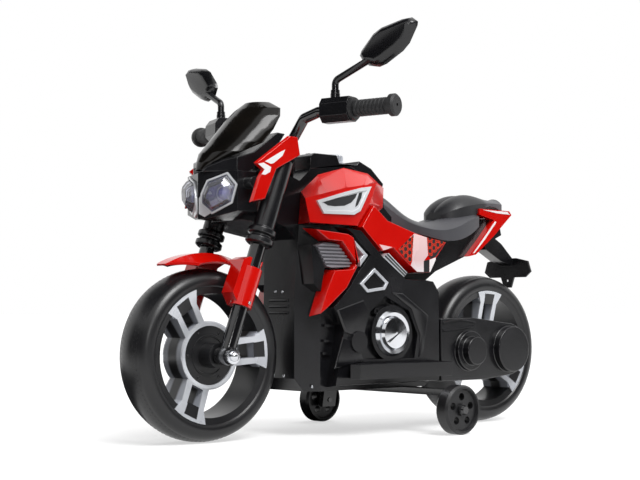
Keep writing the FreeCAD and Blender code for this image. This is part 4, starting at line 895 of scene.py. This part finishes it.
@dataclass
class Frame:
    """Body shells, engine covers, trims, foot rests and the pieces inside."""

    shell_edge: float = 1.5
    trim_edge: float = 0.8
    grille_edge: float = 0.5
    rest_edge: float = 1.0
    cover: Face = Face(81.6)
    facets: Outlines = (
        ((-324, 98), (-350, 97), (-411, 60), (-398, 0), (-388, -10), (-392, 28), (-371, 71)),
        ((-206, 69), (-262, 85), (-276, 68), (-260, 20), (-222, 34)),
        ((-200, -24), (-218, 26), (-256, 12), (-262, -14)))
    facet_relief: Relief = Relief(1.0, 2.2, 2.4)
    front: Face = Face(0.0, AXLE_X - 154.0, -90.0)
    front_sunk: float = -0.3
    rib: Pair = (24.0, 5.0)
    rib_rows: Triple = (62.0, 72.0, 82.0)
    rib_relief: Relief = Relief(0.8, 1.2, 1.4)
    recess: Face = Face(70.0)
    boss: Outline = ((0, 1), (0.45, 1), (0.55, 1.4), (0.85, 1.4), (1, 1.2), (1, -0.1), (0, -0.1))
    bosses: tuple[Triple, ...] = ((-296, 67, 6), (-334, 84, 5), (-379, 54, 5.5))
    bar: Face = Face(74.0)
    stripes: Outlines = (
        ((-318, 157.4), (-320.6, 159.1), (-366.2, 126.6), (-364.4, 125)),
        ((-322.6, 160.4), (-325.2, 162), (-369.4, 129.6), (-367.6, 127.9)))
    side: Face = Face(61.5)
    louvres: tuple[Triple, ...] = ((-190, -2, 18), (-192, 18, 20), (-194, 42, 22))
    louvre_high: float = 4.0
    louvre_drop: float = 1.0
    louvre_relief: Relief = Relief(5.0)
    cap: Face = Face(90.6)
    cap_line: Outline = ((-312, 17), (-313.2, 15.4), (-350, 40.4), (-348.8, 42))
    cap_relief: Relief = Relief(0.5)
    shell: Face = Face(62.0)
    side_screws: Outline = ((-172, -52), (-190, 90))
    front_screws: Outline = ((9, 98), (12.7, -36))
    screw_head: float = 2.4

    def build(self) -> None:
        """Dresses the frame and adds facets, ribs, bosses, stripes, louvres, cap lines and screws."""
        soften(Slot.BLACK, self.shell_edge, "body_left", "body_right", "engine_cover_left",
               "engine_cover_right")
        dress(Slot.CHROME, "engine_caps")
        soften(Slot.SILVER, self.trim_edge, "frame_trims")
        soften(Slot.GRILLE, self.grille_edge, "radiator_grilles")
        soften(Slot.BLACK, self.rest_edge, "foot_rests")
        dress(Slot.BLACK, "charging_socket", "accelerator_pedal", "power_switch")
        dress(Slot.BUSH, "steering_bush")
        dress(Slot.CELL, "battery")
        dress(Slot.BOARD, "control_board")
        plates("engine_facets", self.cover.spot(), self.facets, Slot.BLACK, "chassis",
               relief=self.facet_relief)
        self.front_ribs()
        spots = [self.recess.spot(along, up) @ Matrix.Scale(size, 4) for along, up, size in self.bosses]
        twins("engine_bosses", lathe(self.boss), spots, Slot.BLACK, "chassis")
        plates("bar_stripes", self.bar.spot(), self.stripes, Slot.BLACK, "chassis", DARK_FOIL_AND_SHADE)
        plates("body_louvres", self.side.spot(), self.slats(), Slot.BLACK, "chassis",
               relief=self.louvre_relief)
        plates("engine_cap_lines", self.cap.spot(), (self.cap_line,), Slot.CHROME, "chassis", DARK_FOIL_AND_SHADE,
               self.cap_relief)
        heads = [self.shell.spot(*at) for at in self.side_screws]
        heads += [self.front.spot(*at) for at in self.front_screws]
        screws("body_screws", Slot.STEEL, "chassis", heads, self.screw_head)

    def front_ribs(self) -> None:
        """Sets level ribs on the body's front face, below the head."""
        shape = bmesh.new()
        wide, high = self.rib
        for up in self.rib_rows:
            outline = ((-wide, up), (wide, up), (wide, up + high), (-wide, up + high))
            plate(shape, outline, self.rib_relief)
        bmesh.ops.transform(shape, matrix=self.front.spot(out=self.front_sunk), verts=shape.verts)
        outwards(shape)
        piece("body_front_ribs", shape, Slot.BLACK, "chassis")

    def slats(self) -> list[Outline]:
        """Gives the outlines of the short slats in front of each engine cover."""
        high, drop = self.louvre_high, self.louvre_drop
        return [((along, up), (along - long, up - drop), (along - long, up + high - drop), (along, up + high))
                for along, up, long in self.louvres]


@dataclass
class Tank:
    """Tank sides, top, cap, badges, shrouds and side panels."""

    tank_edge: float = 1.7
    panel_edge: float = 1.2
    top_edge: float = 1.5
    badge: Face = Face(100.94, 304.96, 7.0)
    badge_high: Relief = Relief(3.0)
    badge_rim: float = 5.2
    badge_slope: float = 0.8
    badge_deep: float = 1.5
    frame: Outline = (
        (-164, 241), (-180, 221), (-252, 223), (-268, 230), (-296, 272), (-270, 268), (-232, 259))
    fields: Outlines = (
        ((-174, 240.6), (-190, 234.6), (-206, 234.2), (-230, 236.6), (-246, 242.4), (-256, 250.6),
         (-261, 258.4), (-233, 252), (-198, 245)),
        ((-266, 259.6), (-259, 245), (-256, 235.6), (-262.5, 239.4), (-271, 252), (-274, 261.6)))
    panel: Face = Face(68.0)
    comb_front: Outline = ((-391, 196.6), (-355, 170), (-378.5, 149), (-386.5, 149.5))
    comb_rear: Outline = ((-422.8, 192.3), (-425.4, 162.6), (-430, 158.5), (-468, 186.2))
    band: Outline = (
        (-392.7, 198), (-382.6, 191), (-388, 174), (-386.5, 149), (-384, 144), (-399, 133.6),
        (-414.7, 133.6), (-414.8, 151.7), (-425.4, 162.6), (-422.6, 192.5))
    stripe: Outline = ((-415.2, 133.6), (-428, 133.6), (-428.4, 155.2), (-415.2, 152.4))
    wedge: Outline = ((-428.6, 133.6), (-430.6, 134), (-444, 155.5), (-443.5, 159), (-429, 154.6))
    # A dark foil beside the striped bar is painted shade
    shade: Outline = ((-430.4, 158), (-430, 155.6), (-443.6, 160.2), (-466, 184))
    corner: Outline = ((-312, 177), (-320.5, 167.6), (-326, 168.6), (-341, 173.4))
    cell: float = 6.4
    line: float = 1.8
    join: float = 0.05

    def build(self) -> None:
        """Dresses the tank and lays its badges, foils and a dark patch of painted shade."""
        for side in ("left", "right"):
            soften(Slot.RED, self.tank_edge, f"tank_{side}")
            soften(Slot.RED, self.panel_edge, f"shroud_{side}", f"side_panel_{side}")
        soften(Slot.BLACK, self.top_edge, "tank_top")
        dress(Slot.SILVER, "tank_cap")
        self.badges()
        # The last of these is the patch of painted shade beside the striped bar
        ground_and_shade = (self.comb_front, self.comb_rear, self.stripe, self.shade)
        prints_and_shade = (("bands", (self.band,), Slot.SILVER, PALE_FOIL),
                  ("wedges", (self.wedge,), Slot.SILVER, WHITE_FOIL_AND_HIGHLIGHT),
                  ("corners", (self.corner,), Slot.SILVER, PALE_FOIL),
                  ("grounds_and_shade", ground_and_shade, Slot.BLACK, DARK_FOIL_AND_SHADE))
        for name, outlines, slot, finish in prints_and_shade:
            plates(f"panel_{name}", self.panel.spot(), outlines, slot, "chassis", finish)
        self.honeycomb("panel_comb_front", self.comb_front)
        self.honeycomb("panel_comb_rear", self.comb_rear)

    def badges(self) -> None:
        """Makes each badge: a bright frame round a shallow field with dark foils."""
        shape = bmesh.new()
        top = plate(shape, self.frame, self.badge_high)
        bmesh.ops.inset_region(shape, faces=[top], thickness=self.badge_rim, use_even_offset=True)
        bmesh.ops.inset_region(shape, faces=[top], thickness=self.badge_slope, depth=-self.badge_deep,
                               use_even_offset=True)
        made = twins("badge_frames", shape, [self.badge.spot()], Slot.SILVER, "chassis", BRIGHT)
        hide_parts("tank_badges")
        plates("badge_fields", self.badge.spot(out=self.badge_deep), self.fields, Slot.BLACK, "chassis",
               DARK_FOIL_AND_SHADE)

    def honeycomb(self, name: str, outline: Outline) -> None:
        """Prints the lines of a honeycomb inside an outline that runs round clockwise.

        Args:
            name: Name of the piece.
            outline: Edge of the print on the side panel.
        """
        shape = bmesh.new()
        bmesh.ops.create_circle(shape, cap_ends=True, radius=self.cell, segments=6)
        opened = bmesh.ops.inset_individual(shape, faces=shape.faces[:], thickness=self.line,
                                            use_even_offset=True)
        middle = [face for face in shape.faces if face not in set(opened["faces"])]
        bmesh.ops.delete(shape, geom=middle, context="FACES")
        left, low = (min(values) for values in zip(*outline))
        right, high = (max(values) for values in zip(*outline))
        step, rise = self.cell * 1.5, self.cell * math.sqrt(3.0)
        columns, rows = int((right - left) / step) + 2, int((high - low) / rise) + 2
        repeat(shape, [Matrix.Translation((left + column * step, low + (row + column % 2 / 2) * rise, 0.0))
                       for column in range(columns) for row in range(rows)])
        bmesh.ops.remove_doubles(shape, verts=shape.verts, dist=self.join)
        for start, end in zip(outline, outline[1:] + outline[:1]):
            edge = Vector((end[0] - start[0], end[1] - start[1], 0.0))
            bmesh.ops.bisect_plane(shape, geom=everything(shape), plane_co=(start[0], start[1], 0.0),
                                   plane_no=(edge.y, -edge.x, 0.0), clear_inner=True)
        thicken(shape, shape.faces[:], PRINT)
        twins(name, shape, [self.panel.spot(out=FOIL)], Slot.RED, "chassis", ORANGE_FOIL)


@dataclass
class Saddle:
    """Seat, pillion pad and tail."""

    seat_edge: float = 2.0
    tail_edge: float = 1.5
    bracket_edge: float = 1.0
    tail: Face = Face(47.0, -AXLE_X)
    # Painted highlights: white streaks on the tail's top and along the front of its arm, where the red
    # reflects the light
    highlight_streaks: Outlines = (
        ((26, 249.2), (-41, 248.4), (-47, 243.6), (-12, 244.6)),
        ((-7.5, 230.2), (-10, 227.6), (21, 195.2), (48, 170.6), (52, 170), (24.4, 197.6)))

    def build(self) -> None:
        """Dresses the saddle and lays white painted highlights on the tail."""
        soften(Slot.SEAT, self.seat_edge, "seat")
        soften(Slot.PAD, self.seat_edge, "pillion_pad")
        soften(Slot.RED, self.tail_edge, "tail_cover")
        soften(Slot.BLACK, self.bracket_edge, "plate_bracket")
        plates("tail_painted_highlights", self.tail.spot(), self.highlight_streaks, Slot.SILVER, "chassis", WHITE_FOIL_AND_HIGHLIGHT)


@dataclass
class Drive:
    """Rear covers, gearbox, motor, axle and stabilisers."""

    cover_edge: float = 2.2
    arm: Face = Face(83.7)
    ribs: Outlines = (
        ((-444, 49.5), (-487, 54.5), (-526, 49), (-526, 45), (-487, 50), (-444, 45)),
        ((-444, 36), (-486, 39), (-522, 43), (-522, 39), (-486, 34.5), (-444, 31.5)))
    rib_relief: Relief = Relief(0.8, 1.0, 1.4)

    def build(self) -> None:
        """Dresses the rear end and runs two low ribs along each cover's arm."""
        soften(Slot.BLACK, self.cover_edge, "gearbox_cover", "swingarm_cover")
        dress(Slot.BLACK, "drive_gearbox")
        dress(Slot.STEEL, "drive_motor", "rear_axle")
        dress(Slot.STEEL, "stabiliser_bracket", finish=FINISHES[Slot.FORK])
        dress(Slot.WHEEL, "stabiliser_wheel_left", "stabiliser_wheel_right")
        plates("arm_ribs", self.arm.spot(), self.ribs, Slot.BLACK, "chassis", relief=self.rib_relief)


# Studio, in metres

@dataclass(frozen=True)
class SoftBox:
    """A square softbox: where it hangs, what it points at, its power and its size."""

    name: str
    spot: Triple
    target: Triple
    power: float
    size: float


@dataclass
class Studio:
    """Camera, soft lamps, pale floor and white surroundings."""

    eye: Triple = (1.4961, 1.6709, 0.1990)
    right: Triple = (-0.75945626, 0.65055837, 0.0)
    up: Triple = (0.0347305, 0.04054408, 0.99857397)
    back: Triple = (0.64963065, 0.75837325, -0.05338567)
    lens: float = 74.88
    sensor: float = 36.0
    reach: float = 200.0
    floor_half: float = 60.0
    paper_mm: float = 2000.0
    paper_glow: float = 1.06
    glow_share: float = 0.55
    paper_dull: str = "#8c8c8c"
    horizon: float = 0.3
    zenith: float = 2.2
    window: Triple = (-0.75, 0.0, 0.65)
    window_edge: Pair = (0.5, 0.95)
    curtain_radius: float = 4.0
    curtain_high: float = 2.0
    curtain_half: float = math.radians(100.0)
    canopy: Triple = (0.9, -1.5, 3.0)
    canopy_half: float = 1.5
    mat: Triple = (0.2, -0.6, 0.001)
    mat_half: float = 0.5
    weave_mm: float = 125.0
    sun: Triple = (0.1, 0.6, 0.8)
    sun_power: float = 2.6
    sun_spread: float = math.radians(30.0)
    boxes: tuple[SoftBox, ...] = (
        SoftBox("side_box", (0.3, 2.0, 1.9), (0.0, 0.0, 0.3), 8.0, 1.2),
        SoftBox("front_strip", (1.5, 1.9, 0.9), (0.2, 0.0, 0.3), 5.0, 0.22))

    def build(self) -> None:
        """Sets up the studio."""
        self.camera()
        self.floor()
        self.curtains()
        self.surroundings()
        self.lamp("overhead", "SUN", self.sun_power, Vector(self.sun)).angle = self.sun_spread
        for box in self.boxes:
            way = Vector(box.spot) - Vector(box.target)
            self.lamp(box.name, "AREA", box.power, way, box.spot).size = box.size
        bpy.context.scene.view_settings.view_transform = "Standard"

    def camera(self) -> None:
        """Places the camera where the picture was taken from."""
        data = bpy.data.cameras.new("camera")
        data.lens = self.lens
        data.sensor_width = self.sensor
        data.sensor_fit = "HORIZONTAL"
        data.clip_end = self.reach
        eye = bpy.data.objects.new("camera", data)
        turn = Matrix((self.right, self.up, self.back)).transposed().to_4x4()
        eye.matrix_world = Matrix.Translation(self.eye) @ turn
        bpy.context.scene.collection.objects.link(eye)
        bpy.context.scene.camera = eye

    def floor(self) -> None:
        """Lays a wide floor: white to the eye with the bike's soft shadow, greyer as a source of light."""
        shape = bmesh.new()
        bmesh.ops.create_grid(shape, x_segments=2, y_segments=2, size=self.floor_half)
        floor = to_object("floor", shape, self.paper())

    def looks(self, tree: Tree) -> Socket:
        """Gives 1 where the eye looks straight on, by way of a gloss or through glass.

        Args:
            tree: Tree of the material.

        Returns:
            The mask.
        """
        path = add_node(tree, "LightPath").outputs
        gloss = math_of(tree, "MAXIMUM", path["Is Camera Ray"], path["Is Glossy Ray"])
        return math_of(tree, "MAXIMUM", gloss, path["Is Transmission Ray"])

    def curtains(self) -> None:
        """Hangs a dark curtain round the camera's side and a canopy over the nose, and lays a mat beyond."""
        shape = bmesh.new()
        start = math.atan2(self.eye[1], self.eye[0]) - self.curtain_half
        foot = Vector((math.cos(start), math.sin(start), 0.0)) * self.curtain_radius
        ends = [shape.verts.new(foot + Vector((0.0, 0.0, z))) for z in (0.0, self.curtain_high)]
        bmesh.ops.spin(shape, geom=ends + [shape.edges.new(ends)], cent=(0, 0, 0), axis=(0, 0, 1),
                       angle=2 * self.curtain_half, steps=32)
        self.hang("curtain", shape)
        facing = Vector(self.canopy).to_track_quat("Z", "Y").to_matrix().to_4x4()
        for name, half, spot in (("canopy", self.canopy_half, Matrix.Translation(self.canopy) @ facing),
                                 ("mat", self.mat_half, Matrix.Translation(self.mat))):
            shape = bmesh.new()
            bmesh.ops.create_grid(shape, x_segments=2, y_segments=2, size=half, matrix=spot)
            self.hang(name, shape)

    def hang(self, name: str, shape: Shape) -> None:
        """Makes a dark cloth that only the gloss of the bike sees, so that shiny faces keep their depth.

        Args:
            name: Name of the cloth.
            shape: Its mesh.
        """
        material, tree, place = new_tree(f"black_molton_woven_{name}")
        weave = noise_of(tree, place, self.weave_mm)
        tone = ramp_of(tree, weave, [(0.3, "#1d1d1f"), (0.7, "#2b2b2e")])
        cloth = add_node(tree, "BsdfDiffuse", {"Color": tone})
        add_node(tree, "OutputMaterial", {"Surface": cloth.outputs[0]})
        hung = to_object(name, shape, material)
        for kind in ("camera", "diffuse", "transmission", "shadow"):
            setattr(hung, f"visible_{kind}", False)

    def paper(self) -> Material:
        """Makes seamless white paper, lit from within where it is looked at, so that it meets the white.

        Returns:
            The new material.
        """
        material, tree, place = new_tree("white_paper_roll")
        tone = ramp_of(tree, noise_of(tree, place, self.paper_mm), [(0.3, "#fafafa"), (0.7, "#ffffff")])
        lit = add_node(tree, "BsdfDiffuse", {"Color": tone})
        glow = add_node(tree, "Emission", {"Color": tone, "Strength": self.paper_glow})
        dull = add_node(tree, "BsdfDiffuse", {"Color": to_linear(self.paper_dull)})
        both = mix_of(tree, self.looks(tree), dull, mix_of(tree, self.glow_share, lit, glow))
        add_node(tree, "OutputMaterial", {"Surface": both.outputs[0]})
        return material

    def surroundings(self) -> None:
        """Makes a white room: plain white to the eye, as light brightest at a window above and behind."""
        world = bpy.data.worlds.new("studio")
        world.use_nodes = True
        tree = world.node_tree
        tree.nodes.clear()
        way = add_node(tree, "TexCoord").outputs["Generated"]
        rise = vector_of(tree, "DOT_PRODUCT", way, self.window)
        level = range_of(tree, rise, self.window_edge, (self.horizon, self.zenith),
                         interpolation_type="SMOOTHSTEP")
        white = to_linear("#ffffff")
        light = add_node(tree, "Background", {"Color": white, "Strength": level})
        seen = add_node(tree, "Background", {"Color": white, "Strength": 1.0})
        both = mix_of(tree, self.looks(tree), light, seen)
        add_node(tree, "OutputWorld", {"Surface": both.outputs[0]})
        bpy.context.scene.world = world

    def lamp(self, name: str, kind: str, power: float, way: Vector,
             spot: Triple = (0.0, 0.0, 0.0)) -> bpy.types.Light:
        """Hangs a lamp.

        Args:
            name: Name of the lamp.
            kind: Blender's name for the kind of lamp.
            power: Its strength.
            way: Direction from what it lights to the lamp.
            spot: Where it hangs.

        Returns:
            The lamp's data, which takes its size.
        """
        data = bpy.data.lights.new(name, kind)
        data.energy = power
        lamp = bpy.data.objects.new(name, data)
        lamp.location = spot
        lamp.rotation_euler = way.to_track_quat("Z", "Y").to_euler()
        bpy.context.scene.collection.objects.link(lamp)
        return data


def main() -> None:
    """Builds every sub-assembly and the studio."""
    logging.basicConfig(level=logging.INFO, format="%(message)s")
    groups = (Wheel("front_wheel", "front_spoke_trims", AXLE_X, -55.0),
              Wheel("rear_wheel", "rear_spoke_trims", -AXLE_X, -94.0),
              Fork(), Handlebar(), Nose(), Frame(), Tank(), Saddle(), Drive(), Studio())
    for item in groups:
        item.build()


if __name__ == "__main__":
    main()
